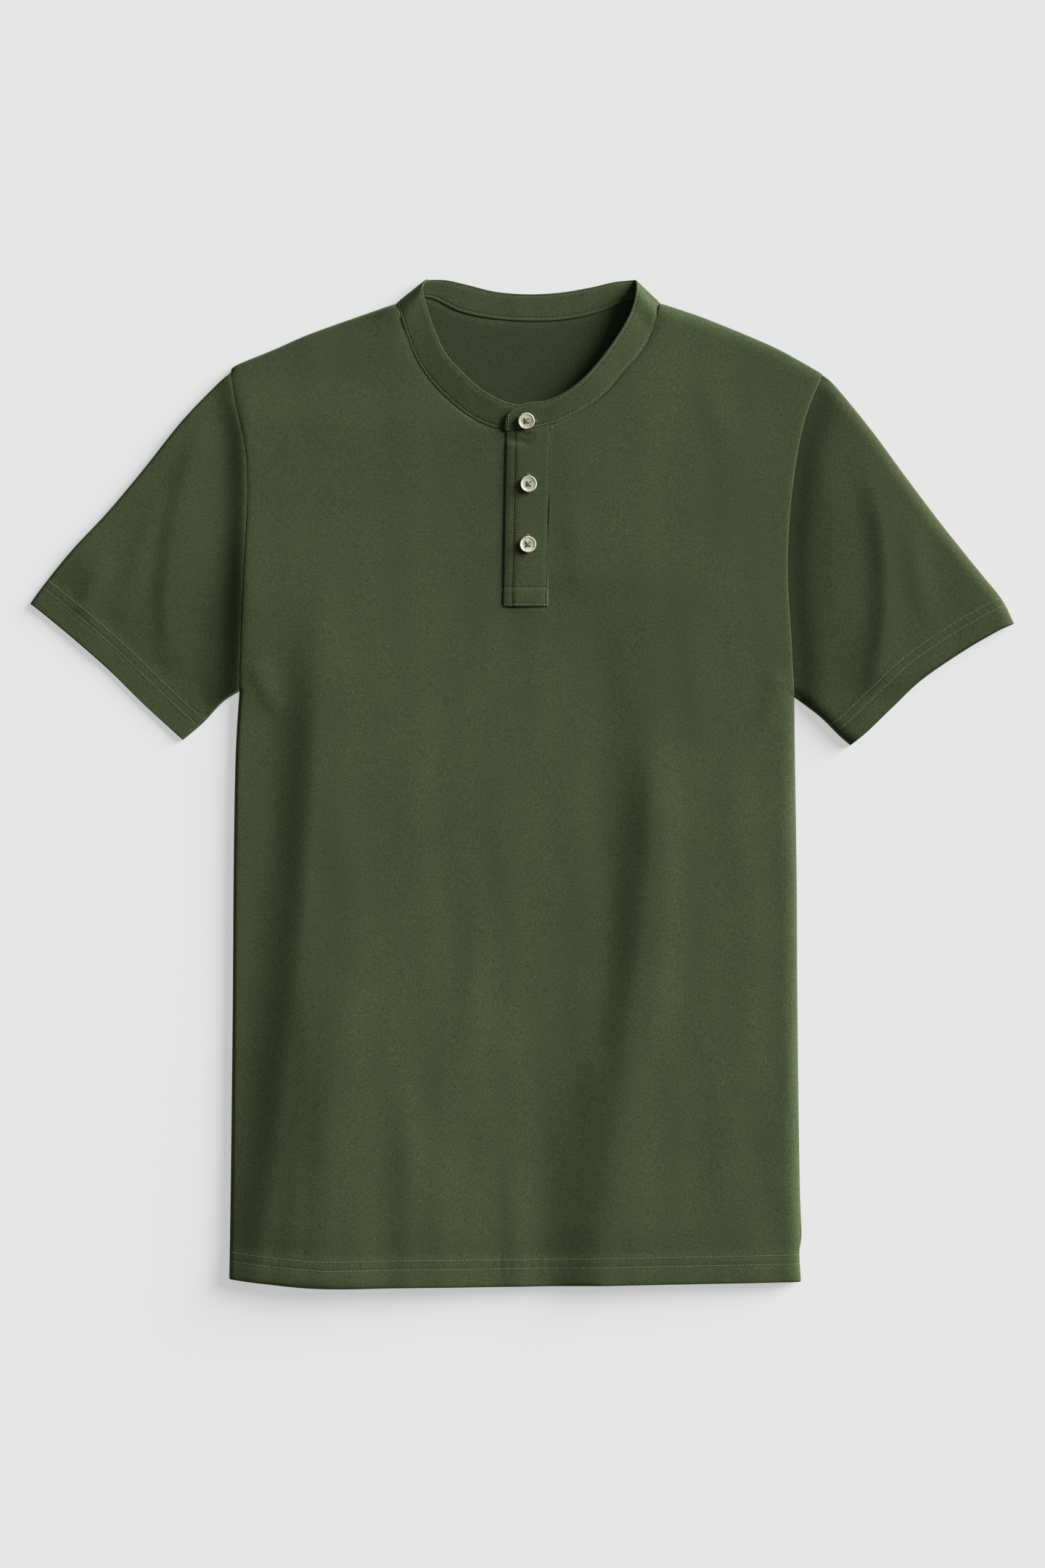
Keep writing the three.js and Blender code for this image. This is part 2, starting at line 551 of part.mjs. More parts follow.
// Sleeve: a flattened tube from the armhole to the cuff, with a rounded fold at each edge
function sleeveGeometry(k) {
  const side = sides[k];
  const outwards = k === 0 ? -1 : 1;
  const shares = armholeShares[k];
  const start = armholePoints[k].map((p) => new THREE.Vector2(p.x + outwards * (seamGap + 0.05), p.y));
  const end = pointsAlong(side.cuff, easedShares(lengthOf(side.cuff), armholeRows));
  const topFold = [start[0], ...pointsAlong(side.sleeveTop, sleeveShares).slice(1)];
  const underFold = [start.at(-1), ...pointsAlong(side.underarm, sleeveShares).slice(1)];
  const grid = patch(start, end, topFold, underFold, shares, sleeveShares);
  const last = shares.length - 1;
  const pulledBack = (j, i) => {
    const p = grid[j][i].clone();
    if (j < grid.length - 1) return p;
    const peek = side.cuffPeek * Math.sin((Math.PI * i) / last);
    return p.add(grid[j - 1][i].clone().sub(p).setLength(peek));
  };
  const foldPoint = (row, i, inset) => {
    const neighbour = row[i === 0 ? 1 : last - 1];
    const inwards = neighbour.clone().sub(row[i]).setLength(inset);
    return raised(row[i].clone().add(inwards), frontRest / 2);
  };
  const ring = (j, topDrop, bottomZ, inset) => {
    const between = shares.map((_, i) => i).slice(1, -1);
    const top = between.map((i) => {
      const p = pulledBack(j, i);
      return raised(p, sleeveTop(k, p.x, p.y) - topDrop);
    });
    const bottom = between.map((i) => raised(grid[j][i], bottomZ)).reverse();
    const points = [foldPoint(grid[j], 0, inset), ...top, foldPoint(grid[j], last, inset), ...bottom];
    return outwards < 0 ? points : points.reverse();
  };
  const outer = grid.map((_, j) => ring(j, 0, 0, 0));
  const inner = grid.map((_, j) => ring(j, clothThickness, clothThickness, clothThickness + 0.1));
  return tubeWall(outer, inner);
}

// Placket strips, made from the cloth's own heights, moved up
function stripGeometry(leftX, rightX, bottomLift, thickness, neck) {
  const end = placket.bottom + seamGap;
  const rows = evenShares(stripRows).map((share) => placket.top + (end - placket.top) * share);
  const face = (lift) =>
    rows.map((y) =>
      stripColumns.map((share) => {
        const x = THREE.MathUtils.lerp(leftX(y), rightX(y), share);
        return new THREE.Vector3(x, y, clothTop(x, y) + lift);
      }),
    );
  return cutFrom(sheetWall(face(bottomLift + thickness), face(bottomLift)), neck);
}
const placketUpperGeometry = () => {
  const rightX = (y) => sewnEdgeX(y) - seamGap;
  return stripGeometry(freeEdgeX, rightX, overlapLift - stripThickness, stripThickness, leftNeckCut);
};
const placketUnderGeometry = () => {
  const leftX = (y) => freeEdgeX(y) + overhang + seamGap;
  const rightX = (y) => sewnEdgeX(y) - underShort;
  return stripGeometry(leftX, rightX, -clothThickness, clothThickness, rightNeckCut);
};

// Button: turned with a rim and a dish, drilled with four holes
function buttonGeometry() {
  const { radius, rim, thickness, dish } = button;
  const floor = thickness - dish;
  const profile = [
    [0, 0],
    [radius * 0.72, 0],
    [radius * 0.93, thickness * 0.2],
    [radius, thickness * 0.48],
    [radius * 0.98, thickness * 0.8],
    [radius - rim * 0.35, thickness],
    [radius - rim * 0.75, thickness],
    [radius - rim * 1.3, floor + dish * 0.3],
    [radius - rim * 2, floor],
    [0, floor],
  ].map(([r, z]) => new THREE.Vector2(r, z));
  const disc = new THREE.LatheGeometry(profile, buttonSegments).rotateX(Math.PI / 2);
  const places = [-1, 1].flatMap((x) => [-1, 1].map((y) => [x * button.spacing, y * button.spacing]));
  const holes = places.map(([x, y]) =>
    new THREE.CylinderGeometry(button.hole, button.hole, 4 * thickness, holeSegments)
      .rotateX(Math.PI / 2)
      .translate(x, y, 0),
  );
  return cutFrom(disc, ...holes);
}

// The surface under a button: the tab of the neckband for the top one, the upper strip for the others.
function tabTop(x, y) {
  const firstShare = (stationCount - 5) / (stationCount - 1);
  const candidates = evenShares(400).map((share) => {
    const t = firstShare + (1 - firstShare) * share;
    const w = (y - bandAt(t, 0).y) / (bandAt(t, 1).y - bandAt(t, 0).y);
    return bandAt(t, w);
  });
  const under = candidates.reduce((a, b) => (Math.abs(a.x - x) < Math.abs(b.x - x) ? a : b));
  return under.z + bandThickness / 2;
}
const upperStripTop = (x, y) => clothTop(x, y) + overlapLift;
function buttonMesh({ name, x, y }) {
  const surface = name === "button_top" ? tabTop : upperStripTop;
  const reach = button.radius * 0.7;
  const slopeX = (surface(x + reach, y) - surface(x - reach, y)) / (2 * reach);
  const slopeY = (surface(x, y + reach) - surface(x, y - reach)) / (2 * reach);
  const heights = evenShares(12).map((share) => {
    const dx = reach * Math.cos(2 * Math.PI * share);
    const dy = reach * Math.sin(2 * Math.PI * share);
    return surface(x + dx, y + dy) - slopeX * dx - slopeY * dy;
  });
  const normal = new THREE.Vector3(-slopeX, -slopeY, 1).normalize();
  const mesh = new THREE.Mesh(buttonGeometry(), buttonMaterial);
  mesh.name = name;
  mesh.position.set(x, y, Math.max(surface(x, y), ...heights) + seamGap / normal.z);
  mesh.quaternion.setFromUnitVectors(new THREE.Vector3(0, 0, 1), normal);
  return mesh;
}

// Materials
const jerseyMaterial = new THREE.MeshStandardMaterial({ color: "#46502f", roughness: 0.92, metalness: 0 });
const bandMaterial = new THREE.MeshStandardMaterial({ color: "#434c2e", roughness: 0.92, metalness: 0 });
const buttonMaterial = new THREE.MeshStandardMaterial({ color: "#cfc8b4", roughness: 0.35, metalness: 0 });

const group = new THREE.Group();
const add = (name, geometry, material) => {
  const mesh = new THREE.Mesh(geometry, material);
  mesh.name = name;
  group.add(mesh);
};
add("back", backGeometry(), jerseyMaterial);
add("front", frontGeometry(), jerseyMaterial);
add("sleeve_right", sleeveGeometry(0), jerseyMaterial);
add("sleeve_left", sleeveGeometry(1), jerseyMaterial);
add("neckband", neckbandGeometry(), bandMaterial);
add("placket_under", placketUnderGeometry(), bandMaterial);
add("placket_upper", placketUpperGeometry(), bandMaterial);
buttonPlaces.forEach((place) => group.add(buttonMesh(place)));

export default group;
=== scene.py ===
import math
import bpy
import numpy as np
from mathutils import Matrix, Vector


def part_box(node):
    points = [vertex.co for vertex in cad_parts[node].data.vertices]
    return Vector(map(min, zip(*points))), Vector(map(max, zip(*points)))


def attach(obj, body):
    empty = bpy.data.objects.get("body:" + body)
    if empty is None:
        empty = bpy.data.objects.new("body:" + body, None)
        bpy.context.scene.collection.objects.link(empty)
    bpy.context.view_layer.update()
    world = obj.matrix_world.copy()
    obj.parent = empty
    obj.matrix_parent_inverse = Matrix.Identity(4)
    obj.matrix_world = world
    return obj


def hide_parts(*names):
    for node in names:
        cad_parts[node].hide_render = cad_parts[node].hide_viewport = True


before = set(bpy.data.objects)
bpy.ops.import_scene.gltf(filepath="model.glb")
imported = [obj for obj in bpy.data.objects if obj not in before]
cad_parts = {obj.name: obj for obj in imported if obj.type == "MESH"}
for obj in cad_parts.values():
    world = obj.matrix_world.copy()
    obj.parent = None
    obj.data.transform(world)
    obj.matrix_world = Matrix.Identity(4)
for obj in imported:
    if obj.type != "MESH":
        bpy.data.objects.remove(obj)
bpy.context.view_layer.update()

# A short-sleeved henley in olive jersey, laid flat and face up. The tables are in millimetres,
# with +X to the wearer's left and +Y to the neck, and the meshes are in metres.
mm = 0.001
print("frame loaded:", len(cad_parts), "nodes")


# Camera, lights and floor

viewSettings = {
    "centre": (0.4, -0.5),
    "frameHeight": 1144.8,
    "distance": 2600,
    "sensor": 36,
}
lightSettings = {
    "sunStrength": 10.2,
    "sunAngle": 36,
    "sunFrom": (0.848, 0.458, 0.267),
    "fillStrength": 0.125,
    "fillColor": (1, 1, 1),
    "floorColor": (0.29, 0.29, 0.29),
    "floorGlow": 0.5,
    "floorSize": 60000,
}


def makeCamera():
    data = bpy.data.cameras.new("camera")
    data.sensor_width = viewSettings["sensor"]
    data.lens = viewSettings["sensor"] * viewSettings["distance"] / viewSettings["frameHeight"]
    camera = bpy.data.objects.new("camera", data)
    x, y = viewSettings["centre"]
    camera.location = Vector((x, y, viewSettings["distance"])) * mm
    bpy.context.collection.objects.link(camera)
    bpy.context.scene.camera = camera


def makeLights():
    sun = bpy.data.lights.new("key", "SUN")
    sun.energy = lightSettings["sunStrength"]
    sun.angle = math.radians(lightSettings["sunAngle"])
    key = bpy.data.objects.new("key", sun)
    key.rotation_euler = Vector(lightSettings["sunFrom"]).to_track_quat("Z", "Y").to_euler()
    bpy.context.collection.objects.link(key)
    world = bpy.data.worlds.new("fill")
    world.use_nodes = True
    background = world.node_tree.nodes["Background"]
    background.inputs["Color"].default_value = (*lightSettings["fillColor"], 1)
    background.inputs["Strength"].default_value = lightSettings["fillStrength"]
    bpy.context.scene.world = world
    bpy.context.scene.view_settings.view_transform = "Standard"


def makeFloor():
    half = lightSettings["floorSize"] * mm / 2
    mesh = bpy.data.meshes.new("floor")
    mesh.from_pydata([(-half, -half, 0), (half, -half, 0), (half, half, 0), (-half, half, 0)], [], [(0, 1, 2, 3)])
    floor = bpy.data.objects.new("floor", mesh)
    material = bpy.data.materials.new("paper")
    material.use_nodes = True
    shader = material.node_tree.nodes["Principled BSDF"]
    shader.inputs["Base Color"].default_value = (*lightSettings["floorColor"], 1)
    shader.inputs["Roughness"].default_value = 1
    shader.inputs["Specular IOR Level"].default_value = 0
    shader.inputs["Emission Color"].default_value = (1, 1, 1, 1)
    shader.inputs["Emission Strength"].default_value = lightSettings["floorGlow"]
    mesh.materials.append(material)
    bpy.context.collection.objects.link(floor)


makeCamera()
makeLights()
makeFloor()
print("camera, lights and floor made")


# Edges of the laid shirt

clothThickness = 1.2
seamGap = 0.3
frontRest = 2 * clothThickness + seamGap
wearersRight = {
    "shoulder": [(-91.3, 349.5), (-106.7, 344.5), (-153.3, 328), (-179.8, 316.5), (-207.5, 305), (-212.2, 300)],
    "armhole": [
        (-212.2, 300), (-208.7, 277), (-202.4, 250), (-200.2, 228),
        (-200.2, 198), (-202.6, 156), (-204.7, 105), (-205.8, 67.3),
    ],
    "side": [(-205.8, 67.3), (-208.6, 20), (-210, -60), (-210.8, -170), (-212, -280), (-213.2, -361)],
    "sleeveTop": [
        (-212.2, 300), (-222.2, 291.5), (-248.7, 263.9), (-275.2, 230.5),
        (-301.7, 198.8), (-328.2, 170.5), (-348.5, 145.5), (-359, 131),
    ],
    "underarm": [(-205.8, 67.3), (-218.5, 59), (-232.8, 44), (-247.5, 31.5)],
    "cuff": [(-359, 131), (-349.4, 123.5), (-328.2, 106), (-301.7, 82.7), (-275.2, 56.7), (-247.5, 31.5)],
    "cuffPeek": 0.4,
    "cuffDrop": 1.8,
    "outwards": -1,
    "edgeRadius": 2.4,
    "neckLoft": 0.9,
    "sleeveLoft": 1.9,
    "seamStep": 1.5,
    "seamReach": 9,
}
wearersLeft = {
    "shoulder": [(100.8, 349.5), (117, 344.5), (138.2, 337), (180.6, 319.3), (204, 307), (218.9, 298.2)],
    "armhole": [
        (218.9, 298.2), (206.6, 267.3), (199.1, 230.8), (194.4, 186.2),
        (193.7, 145.8), (196.2, 105.2), (198.3, 63.1),
    ],
    "side": [
        (198.3, 63.1), (198.8, 20), (200, -60), (200.7, -170),
        (202.3, -290), (203.6, -329), (202, -341), (203.2, -363),
    ],
    "sleeveTop": [
        (218.9, 298.2), (229, 289.5), (254.8, 258), (281.3, 222),
        (307.8, 187), (334.3, 154), (350.2, 134.3), (359.2, 116.5),
    ],
    "underarm": [(198.3, 63.1), (217.5, 48.5), (231.7, 34.5), (239.8, 27.6)],
    "cuff": [
        (359.2, 116.5), (347, 110.8), (322.9, 96.7), (292.4, 75.8),
        (272.2, 57), (251.9, 37.4), (239.8, 27.6),
    ],
    "cuffPeek": 2.4,
    "cuffDrop": 0.6,
    "outwards": 1,
    "edgeRadius": 9,
    "neckLoft": 3.4,
    "sleeveLoft": 4.2,
    "seamStep": -3.2,
    "seamReach": 13,
}
bothSides = (wearersRight, wearersLeft)
hemLine = [
    (-213.2, -361), (-187.8, -364), (-145, -367.5), (-82, -366.8),
    (0, -366.2), (109, -364.6), (203.2, -363),
]


def smooth(low, high, value):
    t = np.clip((value - low) / (high - low), 0, 1)
    return t * t * (3 - 2 * t)


def mix(a, b, share):
    return a + (b - a) * share


def splineAt(points, t, loose=False):
    # Uniform Catmull-Rom. The ends are clamped, or carried on straight if loose.
    p = np.asarray(points, float)
    first = 2 * p[0] - p[1] if loose else p[0]
    last = 2 * p[-1] - p[-2] if loose else p[-1]
    p = np.vstack([first, p, last])
    place = np.clip(np.asarray(t, float) * (len(p) - 3), 0, len(p) - 3 - 1e-9)
    k = place.astype(int)
    u = (place - k)[..., None]
    a, b, c, d = p[k], p[k + 1], p[k + 2], p[k + 3]
    v0, v1 = (c - a) / 2, (d - b) / 2
    return (2 * b - 2 * c + v0 + v1) * u**3 + (-3 * b + 3 * c - 2 * v0 - v1) * u**2 + v0 * u + b


def lengthsAlong(line):
    steps = np.linalg.norm(np.diff(line, axis=0), axis=1)
    return np.concatenate([[0], np.cumsum(steps)])


def resample(line, shares):
    run = lengthsAlong(line)
    wanted = np.asarray(shares) * run[-1]
    return np.stack([np.interp(wanted, run, line[:, k]) for k in range(line.shape[1])], axis=-1)


def denseLine(rows):
    return splineAt(rows, np.linspace(0, 1, 1201))


def pointsAlong(rows, shares):
    return resample(denseLine(rows), shares)


def easedShares(line, spacing, startStops=(0,), endStops=(0,), even=0):
    # Shares of a line's length: fine stops from its ends, and an even spacing or count between them.
    length = lengthsAlong(line)[-1]
    low, high = startStops[-1], length - endStops[-1]
    count = even or max(2, round((high - low) / spacing))
    middle = np.linspace(low, high, count + 1)[1:-1]
    return np.concatenate([startStops, middle, length - np.array(endStops[::-1])]) / length


for side in bothSides:
    side["outlines"] = [pointsAlong(side[k], np.linspace(0, 1, 29))
                        for k in ("shoulder", "sleeveTop", "underarm", "side")]
openEdges = [pointsAlong(rows, np.linspace(0, 1, 29)) for rows in (hemLine, *(s["cuff"] for s in bothSides))]
armholes = [pointsAlong(s["armhole"], np.linspace(0, 1, 29)) for s in bothSides]


def distanceTo(lines, x, y):
    best = np.full(np.shape(x), np.inf)
    for line in lines:
        for (ax, ay), (bx, by) in zip(line[:-1], line[1:]):
            dx, dy = bx - ax, by - ay
            t = np.clip(((x - ax) * dx + (y - ay) * dy) / max(dx * dx + dy * dy, 1e-9), 0, 1)
            best = np.minimum(best, np.hypot(x - ax - t * dx, y - ay - t * dy))
    return best


# How the top layer lies. Each fold is a crest from one point to another, bowed sideways, with its height
# (negative for a trough), its reach to either side and the share over which it dies out at each end.
foldColumns = ("x0", "y0", "x1", "y1", "bow", "height", "minus", "plus", "start", "end")
mainFolds = [
    (-141, 165, -191, -372, 8, 5.9, 19.5, 180, 0.34, 0.02),
    (-150, -90, -164, -372, 0, 1.8, 16, 60, 0.4, 0.02),
    (-130, -60, -140, -372, 0, 2.2, 22, 80, 0.4, 0.03),
    (60, 225, 98, 20, -4, 0.9, 22, 90, 0.3, 0.3),
    (100, 85, 69, -232, 8, 4.1, 20, 140, 0.4, 0.3),
    (101, 60, 86, -232, 6, 1.5, 20, 15, 0.3, 0.3),
    (89, -137, 64, -372, 0, 3.9, 27, 140, 0.4, 0.03),
    (58, -180, 46, -372, 0, 1.3, 19, 40, 0.25, 0.03),
    (124, 190, 130, 20, 0, 1, 30, 36, 0.35, 0.35),
    (-82, -205, -80, -372, 2, 1.2, 12, 40, 0.4, 0.03),
    (-56, -110, -54, -270, 2, 1, 14, 30, 0.4, 0.4),
    (-58, -265, -52, -372, 0, 1.1, 15, 30, 0.4, 0.03),
    (188, -215, 190, -345, 0, 0.8, 14, 14, 0.4, 0.4),
    (-196, 300, -192, 84, -6, 2.3, 12, 125, 0.2, 0.4),
    (-226, 268, -252, 62, -17, 1.1, 9, 30, 0.15, 0.3),
    (246, 250, 254, 58, 16, 2.3, 10, 100, 0.42, 0.12),
]
frontFolds = [(-201, 210, -204, 36, 0, 3, 14, 90, 0.5, 0.45)]
sleeveFolds = [
    (-190, 210, -196, 30, 0, 6, 20, 20, 0.5, 0.1),
    (-238, 150, -238, 24, 0, -2.2, 50, 28, 0.4, 0.3),
    (222, 262, 224, 70, 8, 0.9, 15, 44, 0.3, 0.3),
]
# Slight creases that only the finished cloth has
softCreases = [
    (-8, -250, -2, -372, -2, 0.55, 8, 12, 0.5, 0.05),
    (36, 215, 44, 120, 0, 0.45, 9, 13, 0.4, 0.4),
    (-32, -80, -38, -215, 0, 0.45, 10, 12, 0.4, 0.4),
    (-196, 92, -168, 40, -3, 0.8, 7, 10, 0.2, 0.5),
    (190, 84, 166, 30, 3, 0.8, 8, 9, 0.2, 0.5),
    (-120, 300, -152, 240, 0, 0.45, 10, 14, 0.3, 0.5),
    (128, 300, 156, 236, 0, 0.45, 12, 12, 0.3, 0.5),
    (-262, 232, -296, 120, 4, 0.6, 8, 10, 0.4, 0.4),
    (282, 206, 300, 108, -4, 0.6, 9, 9, 0.4, 0.4),
    (-300, 176, -322, 122, 0, 0.5, 7, 9, 0.4, 0.1),
    (-66, 292, -60, 130, 0, 0.8, 100, 46, 0.3, 0.4),
    (92, -120, 84, -372, 0, 1.8, 190, 190, 0.4, 0.2),
    (-14, 252, 8, 247, 0, -0.9, 3, 3.5, 0.3, 0.3),
]
lie = {
    "bodyLoft": 2.4,
    "hemKeep": 0.85,
    "hemReach": 45,
    "neckReach": 60,
    "neckCentre": (4, 330),
    "neckRadius": 78,
    "cornerLift": 1.2,
    "cornerReach": 16,
    "seamRoll": 0.4,
    "seamRollReach": 1.3,
}
placket = {
    "top": 268,
    "bottom": 128.5,
    "freeTop": -11.2,
    "freeBottom": -13.8,
    "sewnTop": 21.6,
    "sewnBottom": 17.6,
    "overhang": 2.9,
    "underShort": 1,
    "thickness": 1.5,
    "lift": 1.9,
    "liftAcross": 120,
    "liftBelow": 26,
    "liftAtEnd": 0.35,
}


def foldHeights(table, x, y):
    total = np.zeros(np.shape(x))
    for row in table:
        f = dict(zip(foldColumns, row))
        dx, dy = f["x1"] - f["x0"], f["y1"] - f["y0"]
        length = math.hypot(dx, dy)
        along = ((x - f["x0"]) * dx + (y - f["y0"]) * dy) / length**2
        across = ((x - f["x0"]) * -dy + (y - f["y0"]) * dx) / length - 4 * f["bow"] * along * (1 - along)
        width = np.where(across > 0, f["plus"], f["minus"])
        ends = smooth(0, f["start"], along) * smooth(0, f["end"], 1 - along)
        total += np.where((along > 0) & (along < 1), f["height"] * ends * np.exp(-((across / width) ** 2)), 0)
    return total


# Long, shallow unevenness of cloth that was smoothed by hand: wavelength, direction, height and phase
handWaves = [
    (122, 0.05, 0.16, 0.4), (83, -0.06, 0.14, 2.1), (57, 0.03, 0.12, 4.0),
    (41, -0.02, 0.09, 1.2), (29, 0.05, 0.06, 5.1), (90, 1.5, 0.05, 3.3),
]


def handUnevenness(x, y):
    total = np.zeros(np.shape(x))
    for wavelength, direction, height, phase in handWaves:
        along = x * math.cos(direction) + y * math.sin(direction)
        across = y * math.cos(direction) - x * math.sin(direction)
        bend = 0.9 * np.sin(2 * math.pi * across / (wavelength * 5.5) + phase * 1.7)
        total += height * np.sin(2 * math.pi * along / wavelength + phase + bend)
    return total * mix(0.85, 0.5, smooth(-60, 150, y))


def clothTop(x, y, loft=None, fine=True, ownFolds=()):
    loft = lie["bodyLoft"] if loft is None else loft
    openShare = mix(lie["hemKeep"], 1, smooth(0, lie["hemReach"], distanceTo(openEdges, x, y)))
    nx, ny = lie["neckCentre"]
    fromNeck = np.maximum(np.hypot(x - nx, y - ny) - lie["neckRadius"], 0)
    neckLoft = mix(wearersRight["neckLoft"], wearersLeft["neckLoft"], smooth(-lie["neckRadius"], lie["neckRadius"], x))
    neck = neckLoft * np.exp(-((fromNeck / lie["neckReach"]) ** 2))
    creases = foldHeights([*mainFolds, *ownFolds], x, y) * openShare
    if fine:
        creases = creases + foldHeights(softCreases, x, y) + handUnevenness(x, y)
    corners = [np.hypot(x - s["shoulder"][0][0], y - s["shoulder"][0][1]) for s in bothSides]
    corner = lie["cornerLift"] * np.exp(-((np.minimum(*corners) / lie["cornerReach"]) ** 2))
    inwards = np.minimum(*(distanceTo(s["outlines"], x, y) / s["edgeRadius"] for s in bothSides))
    share = np.sqrt(1 - (1 - np.minimum(inwards, 1)) ** 2)
    return np.maximum(frontRest, frontRest + corner + share * (loft * openShare + neck + creases))


def freeEdgeX(y):
    return mix(placket["freeTop"], placket["freeBottom"], (placket["top"] - y) / (placket["top"] - placket["bottom"]))


def sewnEdgeX(y):
    return mix(placket["sewnTop"], placket["sewnBottom"], (placket["top"] - y) / (placket["top"] - placket["bottom"]))


def overlapAt(x, y):
    across = 1 - smooth(0, placket["liftAcross"], x - sewnEdgeX(y))
    above = y - placket["bottom"]
    end = placket["liftAtEnd"] * smooth(-placket["liftBelow"], 0, above)
    slot = (1 - placket["liftAtEnd"]) * smooth(0, placket["liftBelow"], above)
    return placket["lift"] * across * (end + slot)


def frontTop(x, y):
    onLeft = smooth(freeEdgeX(y) + placket["overhang"], sewnEdgeX(y), x)
    return clothTop(x, y, ownFolds=frontFolds) + onLeft * overlapAt(x, y)


def sleeveTop(x, y):
    total = np.zeros(np.shape(x))
    for side, armhole in zip(bothSides, armholes):
        step = side["seamStep"] * np.exp(-((distanceTo([armhole], x, y) / side["seamReach"]) ** 2))
        total += (side["outwards"] * x > 0) * (clothTop(x, y, side["sleeveLoft"], ownFolds=sleeveFolds) + step)
    return np.maximum(frontRest, total)


# Mesh building

def makeObject(name, points, faces, materials=(), smoothShade=True, merge=1e-6):
    mesh = bpy.data.meshes.new(name)
    mesh.from_pydata((np.asarray(points) * mm).tolist(), [], [list(map(int, f)) for f in faces])
    made = bpy.data.objects.new(name, mesh)
    bpy.context.collection.objects.link(made)
    for material in materials:
        mesh.materials.append(material)
    mesh.validate()
    mesh.shade_smooth() if smoothShade else mesh.shade_flat()
    return made


def gridFaces(rows, columns, start=0, flip=False):
    j, i = np.meshgrid(np.arange(rows - 1), np.arange(columns - 1), indexing="ij")
    a = start + j * columns + i
    quads = np.stack([a, a + columns, a + columns + 1, a + 1], axis=-1).reshape(-1, 4)
    return quads[:, ::-1] if flip else quads


def patchGrid(start, end, first, last, across, along):
    u = np.asarray(across)[None, :, None]
    v = np.asarray(along)[:, None, None]
    ruled = start[None] * (1 - v) + end[None] * v + first[:, None] * (1 - u) + last[:, None] * u
    corners = start[0] * (1 - u) * (1 - v) + start[-1] * u * (1 - v) + end[0] * (1 - u) * v + end[-1] * u * v
    return ruled - corners


def weld(points, faces, places=4):
    keys, first, inverse = np.unique(np.round(points, places), axis=0, return_index=True, return_inverse=True)
    return points[first], inverse.reshape(-1)[faces]


def boundaryEdges(faces):
    edges = np.concatenate([faces[:, [k, (k + 1) % 4]] for k in range(4)])
    span = faces.max() + 1
    forward = edges[:, 0] * span + edges[:, 1]
    backward = edges[:, 1] * span + edges[:, 0]
    return edges[~np.isin(forward, backward)]


def shellFrom(points, faces, thickness, roundness=0.42, floorZ=None):
    # Closes an upper surface into a wall, with a rounded rim pushed out between its two faces.
    edges = boundaryEdges(faces)
    outwards = np.zeros((len(points), 2))
    direction = points[edges[:, 1], :2] - points[edges[:, 0], :2]
    side = np.stack([direction[:, 1], -direction[:, 0]], axis=-1)
    side /= np.maximum(np.linalg.norm(side, axis=1, keepdims=True), 1e-9)
    np.add.at(outwards, edges[:, 0], side)
    np.add.at(outwards, edges[:, 1], side)
    rim = np.unique(edges)
    outwards = outwards[rim] / np.maximum(np.linalg.norm(outwards[rim], axis=1, keepdims=True), 1e-9)
    lower = points.copy()
    lower[:, 2] = points[:, 2] - thickness if floorZ is None else floorZ
    middle = (points[rim] + lower[rim]) / 2
    middle[:, :2] += outwards * thickness * roundness
    count = len(points)
    place = np.zeros(count, int)
    place[rim] = 2 * count + np.arange(len(rim))
    a, b = edges[:, 0], edges[:, 1]
    upperRim = np.stack([b, a, place[a], place[b]], axis=-1)
    lowerRim = np.stack([place[b], place[a], a + count, b + count], axis=-1)
    allFaces = np.concatenate([faces, faces[:, ::-1] + count, upperRim, lowerRim])
    return np.concatenate([points, lower, middle]), allFaces


def finishPiece(made, nodes):
    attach(made, "root")
    if nodes:
        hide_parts(*nodes)
    return made


# Materials

def newMaterial(name):
    material = bpy.data.materials.new(name)
    material.use_nodes = True
    tree = material.node_tree
    return material, tree, tree.nodes["Principled BSDF"]


def addNode(tree, kind, inputs=(), **settings):
    node = tree.nodes.new(kind)
    for key, value in settings.items():
        setattr(node, key, value)
    for key, value in dict(inputs).items():
        if isinstance(value, bpy.types.NodeSocket):
            tree.links.new(value, node.inputs[key])
        else:
            node.inputs[key].default_value = value
    return node


jersey = {
    "light": (0.0690, 0.0895, 0.0362),
    "dark": (0.0275, 0.0395, 0.0158),
    "heatherScale": 730,
    "fibreScale": 2100,
    "patchScale": 18,
    "waleSpacing": 0.85,
    "courseSpacing": 0.7,
    "knitShare": 0.14,
    "bump": 0.34,
    "bumpDepth": 0.2,
    "roughness": 0.93,
    "sheen": 0.18,
    "sheenTint": (0.55, 0.62, 0.42),
}


